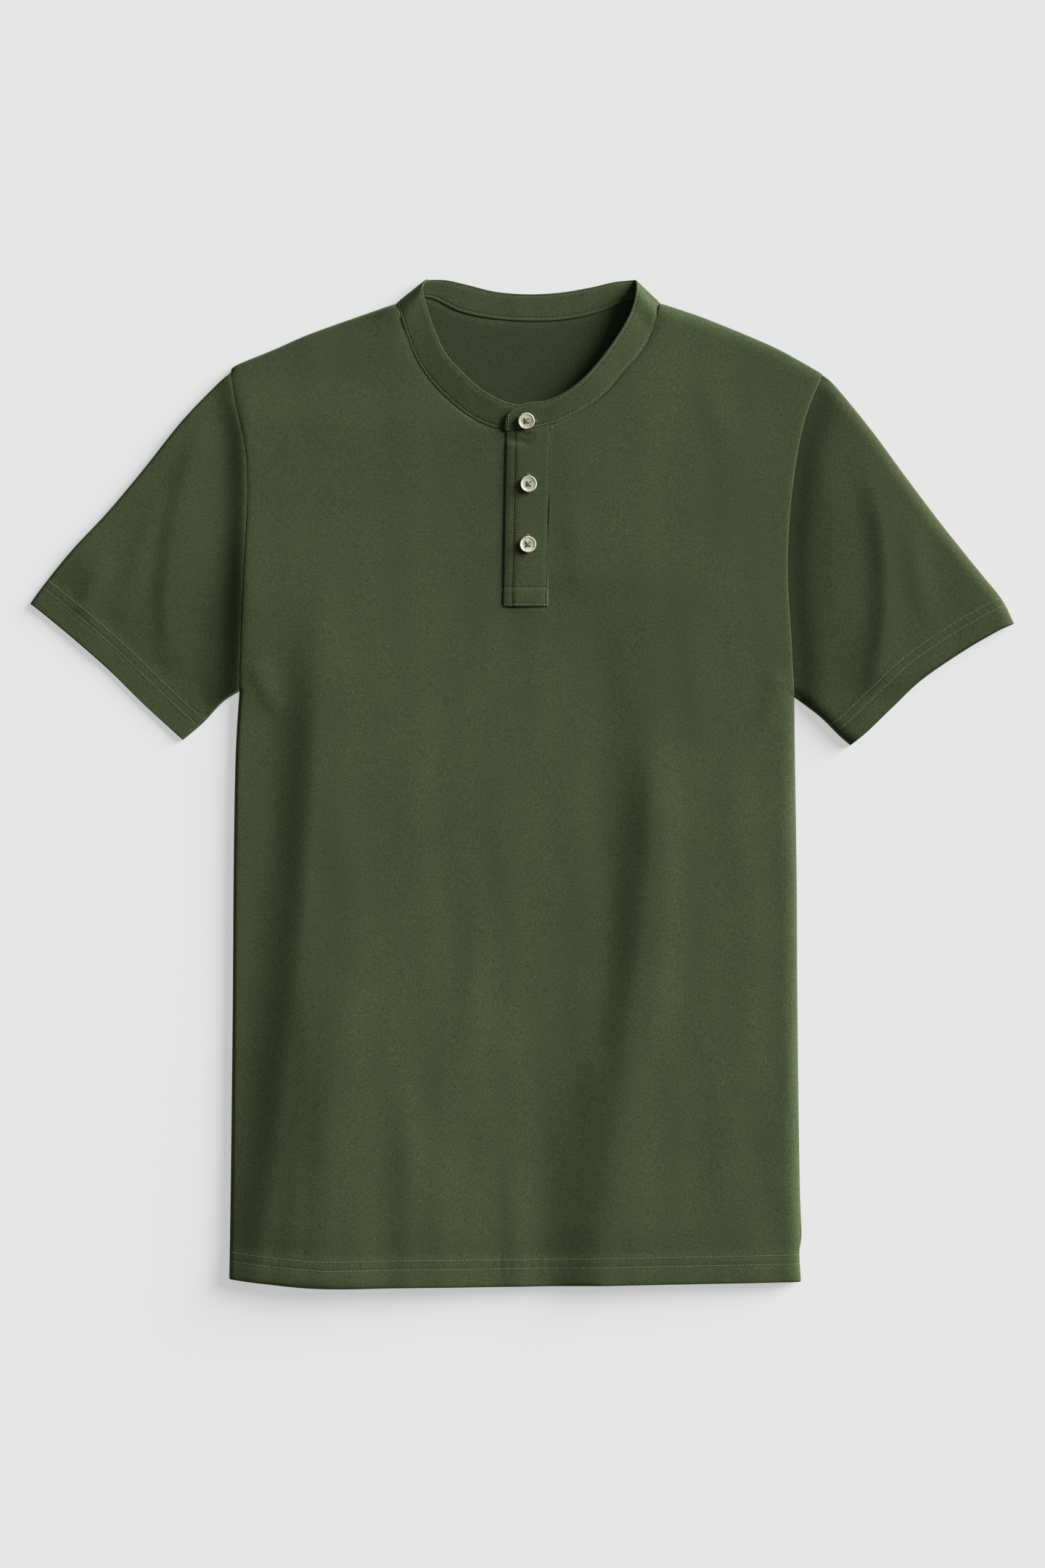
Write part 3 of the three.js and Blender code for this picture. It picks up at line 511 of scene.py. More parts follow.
def jerseyMaterial(name, grainTurn=0.0, tone=1.0):
    material, tree, shader = newMaterial(name)
    place = addNode(tree, "ShaderNodeTexCoord").outputs["Object"]
    turned = addNode(tree, "ShaderNodeMapping", {"Vector": place, "Rotation": (0, 0, grainTurn)}).outputs["Vector"]
    stretched = addNode(tree, "ShaderNodeMapping", {"Vector": turned, "Scale": (1.3, 0.85, 1)}).outputs["Vector"]
    heather = addNode(tree, "ShaderNodeTexNoise", {
        "Vector": stretched, "Scale": jersey["heatherScale"], "Detail": 3.0, "Roughness": 0.7})
    patches = addNode(tree, "ShaderNodeTexNoise", {
        "Vector": turned, "Scale": jersey["patchScale"], "Detail": 4.0, "Roughness": 0.6})
    fibres = addNode(tree, "ShaderNodeTexNoise", {
        "Vector": stretched, "Scale": jersey["fibreScale"], "Detail": 2.0, "Roughness": 0.6})
    grain = addNode(tree, "ShaderNodeMix", {
        "Factor": 0.4, 2: heather.outputs["Fac"], 3: fibres.outputs["Fac"]}, data_type="FLOAT")
    spread = addNode(tree, "ShaderNodeMapRange", {
        "Value": grain.outputs[0], "From Min": 0.37, "From Max": 0.63})
    patchShare = addNode(tree, "ShaderNodeMapRange", {
        "Value": patches.outputs["Fac"], "From Min": 0.3, "From Max": 0.7, "To Min": 0.94, "To Max": 1.06})
    yarn = addNode(tree, "ShaderNodeMix", {
        "Factor": spread.outputs["Result"],
        6: (*[c * tone for c in jersey["dark"]], 1),
        7: (*[c * tone for c in jersey["light"]], 1)}, data_type="RGBA")
    toned = addNode(tree, "ShaderNodeVectorMath", {0: yarn.outputs[2]}, operation="SCALE")
    tree.links.new(patchShare.outputs["Result"], toned.inputs["Scale"])
    tree.links.new(toned.outputs["Vector"], shader.inputs["Base Color"])
    wales = addNode(tree, "ShaderNodeTexWave", {
        "Vector": turned, "Scale": 1 / (jersey["waleSpacing"] * mm) / 20 * math.pi,
        "Distortion": 1.2, "Detail": 2.0, "Detail Scale": 2.0}, bands_direction="X")
    courses = addNode(tree, "ShaderNodeTexWave", {
        "Vector": turned, "Scale": 1 / (jersey["courseSpacing"] * mm) / 20 * math.pi,
        "Distortion": 1.5, "Detail": 2.0, "Detail Scale": 2.0}, bands_direction="Y")
    knit = addNode(tree, "ShaderNodeMath", {
        0: wales.outputs["Fac"], 1: courses.outputs["Fac"]}, operation="MULTIPLY")
    relief = addNode(tree, "ShaderNodeMath", {
        0: knit.outputs["Value"], 1: jersey["knitShare"], 2: grain.outputs[0]}, operation="MULTIPLY_ADD")
    bump = addNode(tree, "ShaderNodeBump", {
        "Height": relief.outputs["Value"], "Strength": jersey["bump"], "Distance": jersey["bumpDepth"] * mm})
    tree.links.new(bump.outputs["Normal"], shader.inputs["Normal"])
    shader.inputs["Roughness"].default_value = jersey["roughness"]
    shader.inputs["Specular IOR Level"].default_value = 0.18
    shader.inputs["Sheen Weight"].default_value = jersey["sheen"]
    shader.inputs["Sheen Roughness"].default_value = 0.45
    shader.inputs["Sheen Tint"].default_value = (*jersey["sheenTint"], 1)
    return material


thread = {"color": (0.17, 0.2, 0.102), "shade": (0.097, 0.12, 0.058), "twistScale": 2600, "roughness": 0.75}


def threadMaterial():
    material, tree, shader = newMaterial("sewingThread")
    place = addNode(tree, "ShaderNodeTexCoord").outputs["Object"]
    twist = addNode(tree, "ShaderNodeTexNoise", {
        "Vector": place, "Scale": thread["twistScale"], "Detail": 2.0, "Roughness": 0.6})
    strands = addNode(tree, "ShaderNodeMix", {
        "Factor": twist.outputs["Fac"],
        6: (*thread["shade"], 1), 7: (*thread["color"], 1)}, data_type="RGBA")
    tree.links.new(strands.outputs[2], shader.inputs["Base Color"])
    bump = addNode(tree, "ShaderNodeBump", {
        "Height": twist.outputs["Fac"], "Strength": 0.4, "Distance": 0.1 * mm})
    tree.links.new(bump.outputs["Normal"], shader.inputs["Normal"])
    shader.inputs["Roughness"].default_value = thread["roughness"]
    shader.inputs["Sheen Weight"].default_value = 0.2
    return material


horn = {
    "pale": (0.70, 0.70, 0.54),
    "warm": (0.44, 0.41, 0.28),
    "smoke": (0.24, 0.22, 0.16),
    "cloudScale": 210,
    "veinScale": 520,
    "roughness": 0.32,
}


def hornMaterial():
    material, tree, shader = newMaterial("buttonHorn")
    place = addNode(tree, "ShaderNodeTexCoord").outputs["Object"]
    clouds = addNode(tree, "ShaderNodeTexNoise", {
        "Vector": place, "Scale": horn["cloudScale"], "Detail": 5.0, "Roughness": 0.6, "Distortion": 0.8})
    veins = addNode(tree, "ShaderNodeTexNoise", {
        "Vector": place, "Scale": horn["veinScale"], "Detail": 4.0, "Roughness": 0.7, "Distortion": 1.5})
    cloudShare = addNode(tree, "ShaderNodeMapRange", {
        "Value": clouds.outputs["Fac"], "From Min": 0.46, "From Max": 0.66})
    veinShare = addNode(tree, "ShaderNodeMapRange", {
        "Value": veins.outputs["Fac"], "From Min": 0.52, "From Max": 0.7, "To Max": 0.6})
    base = addNode(tree, "ShaderNodeMix", {
        "Factor": cloudShare.outputs["Result"],
        6: (*horn["pale"], 1), 7: (*horn["warm"], 1)}, data_type="RGBA")
    veined = addNode(tree, "ShaderNodeMix", {
        "Factor": veinShare.outputs["Result"],
        6: base.outputs[2], 7: (*horn["smoke"], 1)}, data_type="RGBA")
    tree.links.new(veined.outputs[2], shader.inputs["Base Color"])
    bump = addNode(tree, "ShaderNodeBump", {
        "Height": veins.outputs["Fac"], "Strength": 0.15, "Distance": 0.1 * mm})
    tree.links.new(bump.outputs["Normal"], shader.inputs["Normal"])
    shader.inputs["Roughness"].default_value = horn["roughness"]
    shader.inputs["Coat Weight"].default_value = 0.25
    shader.inputs["Coat Roughness"].default_value = 0.2
    return material


bodyCloth = jerseyMaterial("jerseyBody")
# Inside of the back, seen through the neck opening: a darker copy of the jersey, partly the duller wrong side of the
# knit and partly painted shade for the shadow in the opening.
insideClothWithPaintedShade = jerseyMaterial("jerseyInsidePaintedShade", tone=0.68)
bandCloth = jerseyMaterial("jerseyBand", grainTurn=math.radians(90), tone=0.97)
# The sleeves use darker copies of the body jersey, most on the wearer's left: painted shade.
sleeveClothPaintedShade = {
    "sleeve_right": jerseyMaterial("jerseyRightSleevePaintedShade", grainTurn=math.radians(-38), tone=0.97),
    "sleeve_left": jerseyMaterial("jerseyLeftSleevePaintedShade", grainTurn=math.radians(37), tone=0.9),
}
threadFinish = threadMaterial()
hornFinish = hornMaterial()
print("materials made")


# Neckband: stations from its under end round the wearer's right, the back and the wearer's left to the tab.
# Each is sewn along one point and free along the other, which stands higher by the rise. A turn station
# gives the two heights instead, and a flat one lies on the surface.
stationColumns = ("lies", "sewnX", "sewnY", "freeX", "freeY", "a", "b")
bandStations = [
    ("under", 20, 257.3, 20, 277.2, 1.6, 0),
    ("under", 4, 256, 4, 275.6, 1.6, 0),
    ("under", -10, 256.9, -7, 276.3, 1.9, 0),
    ("under", -24, 259.8, -17.4, 279.9, 2, 0),
    ("under", -38.3, 266.9, -31.2, 288.2, 1.7, 0),
    ("under", -52.7, 278.5, -45.3, 301.2, 1.4, 0),
    ("under", -65.3, 291.3, -56.9, 315.4, 1.2, 0),
    ("under", -76, 307, -65, 334, 1.1, 0),
    ("under", -83.6, 325, -70, 349.8, 1.1, 0),
    ("under", -88.6, 340, -72.4, 360, 1.2, 0),
    ("turn", -91, 348, -70.6, 365.6, 3.1, 4),
    ("turn", -91.3, 349.6, -69.2, 367.1, 2, 2.4),
    ("turn", -89.4, 350.2, -67.8, 367.4, 1, 1.1),
    ("flat", -80, 353.8, -63.4, 367.5, 0, 0),
    ("flat", -66, 353.6, -54, 367, 0, 0),
    ("flat", -45.3, 344, -39, 363.6, 0, 0),
    ("flat", -22, 339, -19, 358.8, 0, 0),
    ("flat", 4.3, 337.1, 4.3, 357, 0, 0),
    ("flat", 30, 338, 28, 358.2, 0, 0),
    ("flat", 55, 343, 49.5, 361.8, 0, 0),
    ("flat", 76, 351.4, 66, 365.6, 0, 0),
    ("flat", 90.4, 353.6, 76.6, 366.9, 0, 0),
    ("turn", 99.2, 350.2, 81, 367.2, 1, 1.1),
    ("turn", 100.8, 349.6, 82.4, 366.8, 2, 2.4),
    ("turn", 100.4, 348, 83.2, 364.9, 3.4, 4.4),
    ("over", 98.2, 340.4, 83, 358.8, 2.6, 0),
    ("over", 94.4, 327, 79.6, 344.8, 3.8, 0),
    ("over", 87.2, 314, 72.4, 330.6, 4.2, 0),
    ("over", 75.4, 300.4, 61, 313.8, 4.2, 0),
    ("over", 61.2, 284, 47.8, 298, 3.8, 0),
    ("over", 47, 272.9, 36.9, 288.3, 3.2, 0),
    ("over", 32.7, 265, 26.9, 282, 2.7, 0),
    ("over", 18.4, 260, 16.4, 278, 2.3, 0),
    ("over", 4.3, 257.2, 5, 276.8, 2.3, 0),
    ("over", -4.6, 256.4, -2.6, 274.3, 2.2, 0),
    ("over", -10.2, 256.1, -9.6, 269.6, 1.8, 0),
    ("over", -12.2, 256.9, -12.2, 264.2, 1.3, 0),
]
band = {
    "thickness": 1.6,
    "spacing": 1.4,
    "edgeRound": 1.0,
    "stitchInset": 2.0,
    "stitchDip": 0.28,
    "stitchDipWidth": 0.8,
}
stationCount = len(bandStations)
turns = [k for k, s in enumerate(bandStations) if s[0] == "turn"]
rightTurn, leftTurn = turns[1], turns[4]


def bandEdgeCurves():
    sewn, free = [], []
    for row in bandStations:
        s = dict(zip(stationColumns, row))
        if s["lies"] == "flat":
            low = high = band["thickness"] / 2
        elif s["lies"] == "turn":
            low, high = s["a"], s["b"]
        else:
            lift = overlapAt(s["sewnX"], s["sewnY"]) if s["lies"] == "over" else 0
            low = float(clothTop(s["sewnX"], s["sewnY"], fine=False)) - band["thickness"] / 2 + lift
            high = low + s["a"]
        sewn.append((s["sewnX"], s["sewnY"], low))
        free.append((s["freeX"], s["freeY"], high))
    return np.array(sewn), np.array(free)


sewnEdge, freeEdge = bandEdgeCurves()


def bandAt(t, w):
    return mix(splineAt(sewnEdge, t, loose=True), splineAt(freeEdge, t, loose=True), np.asarray(w)[..., None])


def bandNormal(t, w):
    step = 0.3 / stationCount
    ahead = bandAt(np.minimum(t + step, 1), w) - bandAt(np.maximum(t - step, 0), w)
    across = bandAt(t, np.ones(np.shape(t))) - bandAt(t, np.zeros(np.shape(t)))
    normal = np.cross(across, ahead)
    return normal / np.linalg.norm(normal, axis=-1, keepdims=True)


def bandHalfThickness(width, d):
    # The wall is rounded off at both edges and pulled in along the two rows of stitching.
    toEdge = np.minimum(d, width - d)
    rounding = np.sqrt(np.clip(1 - (1 - np.minimum(toEdge / band["edgeRound"], 1)) ** 2, 0, 1))
    dip = band["stitchDip"] * np.exp(-(((toEdge - band["stitchInset"]) / band["stitchDipWidth"]) ** 2))
    return (band["thickness"] / 2 - dip) * rounding


bandParameters = np.linspace(0, 1, 1 + round(lengthsAlong(bandAt(np.linspace(0, 1, 800), np.full(800, 0.5)))[-1] / band["spacing"]))
bandShares = np.array([0, 0.012, 0.03, 0.055, 0.08, 0.105, 0.13, 0.17, 0.24, 0.33, 0.42, 0.5])
bandShares = np.concatenate([bandShares, 1 - bandShares[-2::-1]])


def makeNeckband():
    t, w = np.meshgrid(bandParameters, bandShares, indexing="ij")
    middle = bandAt(t, w)
    normal = bandNormal(t, w)
    width = np.linalg.norm(bandAt(t, np.ones_like(w)) - bandAt(t, np.zeros_like(w)), axis=-1)
    half = bandHalfThickness(width, w * width)
    ease = handUnevenness(middle[..., 0] * 1.7, middle[..., 1] * 1.7) * 0.7
    faces, points = [], []
    for side in (-1, 1):
        face = middle + normal * (side * half + ease)[..., None]
        face[..., 2] = np.maximum(face[..., 2], 0)
        points.append(face.reshape(-1, 3))
    rows, columns = t.shape
    count = rows * columns
    faces = [gridFaces(rows, columns), gridFaces(rows, columns, count, flip=True)]
    for j, flip in ((0, False), (rows - 1, True)):
        a = j * columns + np.arange(columns - 1)
        cap = np.stack([a, a + 1, a + 1 + count, a + count], axis=-1)
        faces.append(cap[:, ::-1] if flip else cap)
    points, faces = weld(np.concatenate(points), np.concatenate(faces))
    made = makeObject("neckband_cloth", points, faces, [bandCloth])
    return finishPiece(made, ["neckband"])


def neckline(fromStation, toStation, count):
    t = np.linspace(fromStation, toStation, count) / (stationCount - 1)
    zero = np.zeros(count)
    normal = bandNormal(t, zero)
    outwards = bandAt(t, zero) - bandAt(t, zero + 1)
    outwards[:, 2] = 0
    outwards /= np.linalg.norm(outwards, axis=1, keepdims=True)
    lean = band["thickness"] / 2 * np.hypot(normal[:, 0], normal[:, 1])
    return (bandAt(t, zero) + outwards * (seamGap + lean)[:, None])[:, :2]


# Front: two upper parts beside the neck and the placket slot, and one part below them
panel = {
    "spacing": 3.1,
    "roundStops": (0, 0.5, 1.2, 2.2, 3.6, 5.4, 7.8),
    "seamStops": (0, 0.5, 1.1, 2.0, 3.4, 5.4),
    "hemStops": (0, 0.5, 1.2, 2.6, 5, 8, 10.6, 12.4, 13.6, 15.4, 17.6, 19.0, 20.2, 22.4),
    "hemRows": (13.0, 19.6),
    "hemPucker": 0.12,
    "hemThick": 0.45,
    "hemLift": 0.9,
}


def slotSide(curve, edgeX):
    # The neckline down to the slot, then the slot's own edge down to its end.
    beyond = (curve[:, 0] - edgeX(curve[:, 1])) * np.sign(curve[0, 0] - edgeX(curve[0, 1]))
    stop = int(np.argmax(beyond < 0))
    a, b = curve[stop - 1], curve[stop]
    share = beyond[stop - 1] / (beyond[stop - 1] - beyond[stop])
    corner = mix(a, b, share)
    neck = np.vstack([curve[:stop], corner])
    y = np.linspace(corner[1], placket["bottom"], 200)
    return neck, np.stack([edgeX(y), y], axis=-1)


def hemRelief(x, y):
    # The turned-up hem is a little thicker, pulled in along its two rows of stitching.
    d = distanceTo([openEdges[0]], x, y)
    pull = sum(np.exp(-(((d - row) / 1.1) ** 2)) for row in panel["hemRows"])
    pucker = panel["hemPucker"] * np.sin(2 * math.pi * x / 7.3 + 1.4 * np.sin(x / 31)) * np.exp(-((d - 16) / 7) ** 2)
    turned = panel["hemThick"] * (1 - smooth(20.4, 22.6, d))
    roll = 0.5 * (1 - np.sqrt(1 - (1 - np.minimum(d / 1.6, 1)) ** 2))
    lift = panel["hemLift"] * (1 - smooth(2, 26, d))
    return turned + lift - 0.22 * pull + pucker - roll


def seamRelief(lines, x, y, depth=None):
    depth = lie["seamRoll"] if depth is None else depth
    return -depth * np.exp(-distanceTo(lines, x, y) / lie["seamRollReach"])


def makeFront():
    round_, seam = panel["roundStops"], panel["seamStops"]
    slotLeftX = lambda y: freeEdgeX(y) + placket["overhang"]
    rightNeck, slotLeft = slotSide(neckline(rightTurn, 0, 700), slotLeftX)
    leftNeck, slotRight = slotSide(neckline(leftTurn, stationCount - 1, 700), sewnEdgeX)
    uppers = []
    for side, neck, slot in ((wearersRight, rightNeck, slotLeft), (wearersLeft, leftNeck, slotRight)):
        armhole = denseLine(side["armhole"])
        neckPoints = resample(neck, easedShares(neck, panel["spacing"], startStops=round_))
        slotPoints = resample(slot, easedShares(slot, panel["spacing"]))
        inner = np.vstack([neckPoints, slotPoints[1:]])
        outer = resample(armhole, easedShares(
            armhole, 0, startStops=round_, endStops=round_, even=len(inner) - 2 * len(round_) + 1))
        shoulder = denseLine(side["shoulder"])[::-1]
        shoulder[-1] = inner[0]
        across = easedShares(shoulder, panel["spacing"] * 0.72, startStops=seam, endStops=seam)
        split = np.linspace(outer[-1], inner[-1], 400)
        acrossSplit = easedShares(split, 0, startStops=seam, endStops=seam, even=len(across) - 2 * len(seam) + 1)
        along = (lengthsAlong(inner) / lengthsAlong(inner)[-1] + lengthsAlong(outer) / lengthsAlong(outer)[-1]) / 2
        grid = patchGrid(
            resample(shoulder, across), resample(split, acrossSplit), outer, inner, acrossSplit, along)
        uppers.append(grid if side is wearersRight else grid[:, ::-1])
    slotEnd = np.linspace(slotLeft[-1], slotRight[-1], 13)
    splitLine = np.vstack([uppers[0][-1], slotEnd[1:-1], uppers[1][-1]])
    sidePoints = [denseLine(s["side"]) for s in bothSides]
    down = easedShares(sidePoints[0], panel["spacing"], endStops=panel["hemStops"])
    acrossSplit = lengthsAlong(splitLine) / lengthsAlong(splitLine)[-1]
    lowerPart = patchGrid(
        splitLine, pointsAlong(hemLine, acrossSplit), resample(sidePoints[0], down), resample(sidePoints[1], down),
        acrossSplit, down)
    seams = [rightNeck, leftNeck, slotLeft, *armholes]
    allPoints, allFaces, count = [], [], 0
    for grid in (*uppers, lowerPart):
        x, y = grid[..., 0], grid[..., 1]
        z = frontTop(x, y) + hemRelief(x, y) + seamRelief(seams, x, y)
        allPoints.append(np.stack([x, y, np.maximum(z, 2.2)], axis=-1).reshape(-1, 3))
        allFaces.append(gridFaces(*x.shape, count))
        count += x.size
    points, faces = weld(np.concatenate(allPoints), np.concatenate(allFaces), 3)
    points, faces = shellFrom(points, faces, clothThickness * 0.6)
    made = makeObject("front_cloth", points, faces, [bodyCloth])
    return finishPiece(made, ["front"]), lowerPart


def makeBack():
    round_ = panel["roundStops"]
    neck = neckline(rightTurn, leftTurn, 500)
    armLines = [denseLine(s["armhole"]) for s in bothSides]
    sideLines = [denseLine(s["side"]) for s in bothSides]
    shoulders = [denseLine(s["shoulder"]) for s in bothSides]
    start = np.vstack([shoulders[0][::-1], neck, shoulders[1]])
    shares = easedShares(start, 4.2, startStops=round_, endStops=round_)
    edges = []
    for arm, flank in zip(armLines, sideLines):
        armPoints = resample(arm, easedShares(arm, 5, startStops=round_))
        edges.append(np.vstack([armPoints, resample(flank, easedShares(flank, 0, even=96))[1:]]))
    rows = min(len(e) for e in edges)
    edges = [resample(e, np.linspace(0, 1, rows)) for e in edges]
    along = np.linspace(0, 1, rows)
    grid = patchGrid(resample(start, shares), pointsAlong(hemLine, shares), *edges, shares, along)
    x, y = grid[..., 0], grid[..., 1]
    z = clothThickness + seamRelief([neck], x, y, 0.35)
    points = np.stack([x, y, z], axis=-1).reshape(-1, 3)
    points, faces = shellFrom(points, gridFaces(*x.shape), clothThickness, floorZ=0)
    made = makeObject("back_cloth", points, faces, [insideClothWithPaintedShade, bodyCloth])
    # Upward faces, the inside seen through the neck, take the darker inside jersey with its painted shade; the others
    # take the body jersey.
    for face in made.data.polygons:
        face.material_index = int(face.normal.z < 0.5)
    return finishPiece(made, ["back"])


# Sleeves: flattened tubes, rounded at the fold on either side
sleeve = {
    "spacing": 2.8,
    "foldRadius": 1.6,
    "hemRows": (14.7, 21.0),
    "cuffStops": (0, 0.5, 1.2, 2.6, 5, 8.5, 11.6, 13.8, 15.6, 18, 20.2, 21.8, 24),
    "seamStops": (0, 0.4, 1.0, 2.0, 3.6, 6),
    "hemThick": 0.4,
    "dropReach": 52,
    "lowest": 2.3,
}


def sleeveGrid(side):
    stops = panel["roundStops"]
    armhole = denseLine(side["armhole"]) + np.array([side["outwards"] * (seamGap + 0.05), 0])
    cuff = denseLine(side["cuff"])
    fold, under = denseLine(side["sleeveTop"]), denseLine(side["underarm"])
    fold[0], under[0] = armhole[0], armhole[-1]
    across = easedShares(armhole, sleeve["spacing"], startStops=stops, endStops=stops)
    acrossCuff = easedShares(cuff, 0, startStops=stops, endStops=stops, even=len(across) - 2 * len(stops) + 1)
    down = easedShares(fold, sleeve["spacing"], startStops=sleeve["seamStops"], endStops=sleeve["cuffStops"])
    return patchGrid(
        resample(armhole, across), resample(cuff, acrossCuff), resample(fold, down), resample(under, down),
        across, down)


def cuffRelief(side, x, y):
    line = openEdges[1 if side is wearersRight else 2]
    d = distanceTo([line], x, y)
    pull = sum(np.exp(-(((d - row) / 1.1) ** 2)) for row in sleeve["hemRows"])
    pucker = 0.1 * np.sin(2 * math.pi * (x + y * side["outwards"]) / 6.4) * np.exp(-((d - 18) / 6) ** 2)
    turned = sleeve["hemThick"] * (1 - smooth(21.8, 24, d))
    roll = 0.5 * (1 - np.sqrt(1 - (1 - np.minimum(d / 1.6, 1)) ** 2))
    return turned - side["cuffDrop"] * (1 - smooth(0, sleeve["dropReach"], d)) - 0.22 * pull + pucker - roll


def finishedSleeveTop(side, x, y):
    return np.maximum(sleeveTop(x, y) + cuffRelief(side, x, y), sleeve["lowest"])


def makeSleeve(name, side):
    grid = sleeveGrid(side)
    rows, columns = grid.shape[:2]
    pulled = grid.copy()
    inwards = grid[-2] - grid[-1]
    inwards /= np.linalg.norm(inwards, axis=1, keepdims=True)
    peek = side["cuffPeek"] * np.sin(math.pi * np.linspace(0, 1, columns)) ** 0.6
    nearCuff = np.clip((np.arange(rows) - (rows - 14)) / 13, 0, 1)
    pulled += nearCuff[:, None, None] * inwards[None] * peek[None, :, None]
    x, y = pulled[..., 0], pulled[..., 1]
    toFold = np.minimum(
        np.linalg.norm(grid - grid[:, :1], axis=-1), np.linalg.norm(grid - grid[:, -1:], axis=-1))
    rolled = np.sqrt(1 - (1 - np.minimum(toFold / sleeve["foldRadius"], 1)) ** 2)
    middle = frontRest / 2
    top = finishedSleeveTop(side, x, y) + seamRelief([armholes[0 if side is wearersRight else 1]], x, y, 0.35)
    top = mix(middle, top, rolled)
    bottom = mix(middle, 0, rolled)
    thin = clothThickness * 0.6
    innerTop = np.maximum(top - thin, middle + 0.05)
    innerBottom = np.minimum(bottom + thin, middle - 0.05)
    inset = grid.copy()
    for edge, beside in ((0, 3), (-1, -4)):
        inset[:, edge] = mix(grid[:, edge], grid[:, beside], 0.45)
    layers = [
        np.concatenate([pulled[..., :2], top[..., None]], axis=-1),
        np.concatenate([grid[..., :2], bottom[..., None]], axis=-1),
        np.concatenate([np.where(rolled[..., None] < 0.3, inset, pulled), innerTop[..., None]], axis=-1),
        np.concatenate([np.where(rolled[..., None] < 0.3, inset, grid), innerBottom[..., None]], axis=-1),
    ]
    outer = np.concatenate([layers[0], layers[1][:, -2:0:-1]], axis=1)
    inner = np.concatenate([layers[2], layers[3][:, -2:0:-1]], axis=1)
    around = outer.shape[1]
    j, i = np.meshgrid(np.arange(rows - 1), np.arange(around), indexing="ij")
    nextI = (i + 1) % around
    size = rows * around
    skin = np.stack([j * around + i, (j + 1) * around + i, (j + 1) * around + nextI, j * around + nextI], -1)
    skin = skin.reshape(-1, 4)
    i = np.arange(around)
    nextI = (i + 1) % around
    end = (rows - 1) * around
    armEnd = np.stack([i, nextI, nextI + size, i + size], -1)
    cuffEnd = np.stack([end + i, end + i + size, end + nextI + size, end + nextI], -1)
    faces = np.concatenate([skin, skin[:, ::-1] + size, armEnd, cuffEnd])
    if side is wearersLeft:
        faces = faces[:, ::-1]
    points = np.concatenate([outer.reshape(-1, 3), inner.reshape(-1, 3)])
    made = makeObject(name + "_cloth", points, faces, [sleeveClothPaintedShade[name]])
    finishPiece(made, [name])
    return grid


frontPiece, lowerPart = makeFront()
backPiece = makeBack()
print("front and back made:", len(frontPiece.data.polygons), len(backPiece.data.polygons))
sleeveGrids = {
    "sleeve_right": makeSleeve("sleeve_right", wearersRight),
    "sleeve_left": makeSleeve("sleeve_left", wearersLeft),
}
print("sleeves made")
bandPiece = makeNeckband()
print("neckband made")


# Placket strips
strip = {
    "columns": (0, 0.012, 0.03, 0.06, 0.1, 0.13, 0.155, 0.18, 0.205, 0.24, 0.3, 0.4, 0.5, 0.6, 0.74, 0.8, 0.85,
                0.88, 0.905, 0.93, 0.95, 0.965, 0.98, 1),
    "rowSpacing": 1.15,
    "endStops": (0, 0.4, 1.0, 2.0, 3.4),
    "edgeRound": 1.3,
    "tuck": 1.1,
    "stitchDip": 0.4,
    "stitchDipWidth": 1.0,
    "freeEdgeDrop": 0.85,
    "pucker": 0.8,
    "leftRow": 6.0,
    "rightRow": 1.3,
    "boxRows": (1.6, 13.2),
}


def stripGrid(leftX, rightX, topCurve):
    order = np.argsort(topCurve[:, 0])
    line = topCurve[order]
    shares = np.array(strip["columns"])
    startX = mix(leftX(257), rightX(257), shares)
    topY = np.interp(startX, line[:, 0], line[:, 1])
    bottomY = placket["bottom"] + seamGap
    length = topY.mean() - bottomY
    middle = np.linspace(strip["endStops"][-1], length - strip["endStops"][-1], round(length / strip["rowSpacing"]))
    down = np.concatenate([strip["endStops"], middle[1:-1], length - np.array(strip["endStops"][::-1])]) / length
    y = mix(topY[None, :], bottomY, down[:, None])
    x = mix(leftX(y), rightX(y), shares[None, :])
    return x, y


def roundOff(d, reach):
    return 1 - np.sqrt(1 - (1 - np.clip(d / reach, 0, 1)) ** 2)


def upperStripTop(x, y):
    # Top of the buttonhole strip, rounded at its free edge and its end and pulled in at the stitching.
    toFree = x - freeEdgeX(y)
    toSewn = sewnEdgeX(y) - x
    toEnd = y - placket["bottom"] - seamGap
    sag = 0.25 * np.exp(-((y - 196) / 12) ** 2) * smooth(0, 12, toFree)
    sag = sag + strip["pucker"] * foldHeights([(-4.5, 252, 7.5, 251, 2.4, 1, 1.5, 2.6, 0.3, 0.3)], x, y)
    z = clothTop(x, y) + placket["lift"] - sag
    z = z - 0.5 * roundOff(toFree, strip["edgeRound"]) - 0.6 * roundOff(toEnd, strip["edgeRound"])
    z = z - strip["freeEdgeDrop"] * (1 - smooth(0, 9, toFree)) + 0.06
    z = z - 0.35 * smooth(0.5, 1.0, -toSewn)
    width = strip["stitchDipWidth"]
    leftRow = np.exp(-(((toFree - strip["leftRow"]) / width) ** 2))
    rightRow = 0.4 * np.exp(-(((toSewn - strip["rightRow"]) / width) ** 2))
    boxes = sum(np.exp(-(((toEnd - row) / width) ** 2)) for row in strip["boxRows"])
    return z - strip["stitchDip"] * (leftRow + rightRow + boxes)


def makeUpperStrip():
    neck = neckline(leftTurn, stationCount - 1, 500)
    tail = neck[-1] + np.array([[-1.5, 0], [-4, 0]])
    x, y = stripGrid(freeEdgeX, lambda y: sewnEdgeX(y) + strip["tuck"], np.vstack([neck, tail]))
    points = np.stack([x, y, upperStripTop(x, y)], -1).reshape(-1, 3)
    points, faces = shellFrom(points, gridFaces(*x.shape), 0.75)
    made = makeObject("placket_upper_cloth", points, faces, [bandCloth])
    return finishPiece(made, ["placket_upper"])


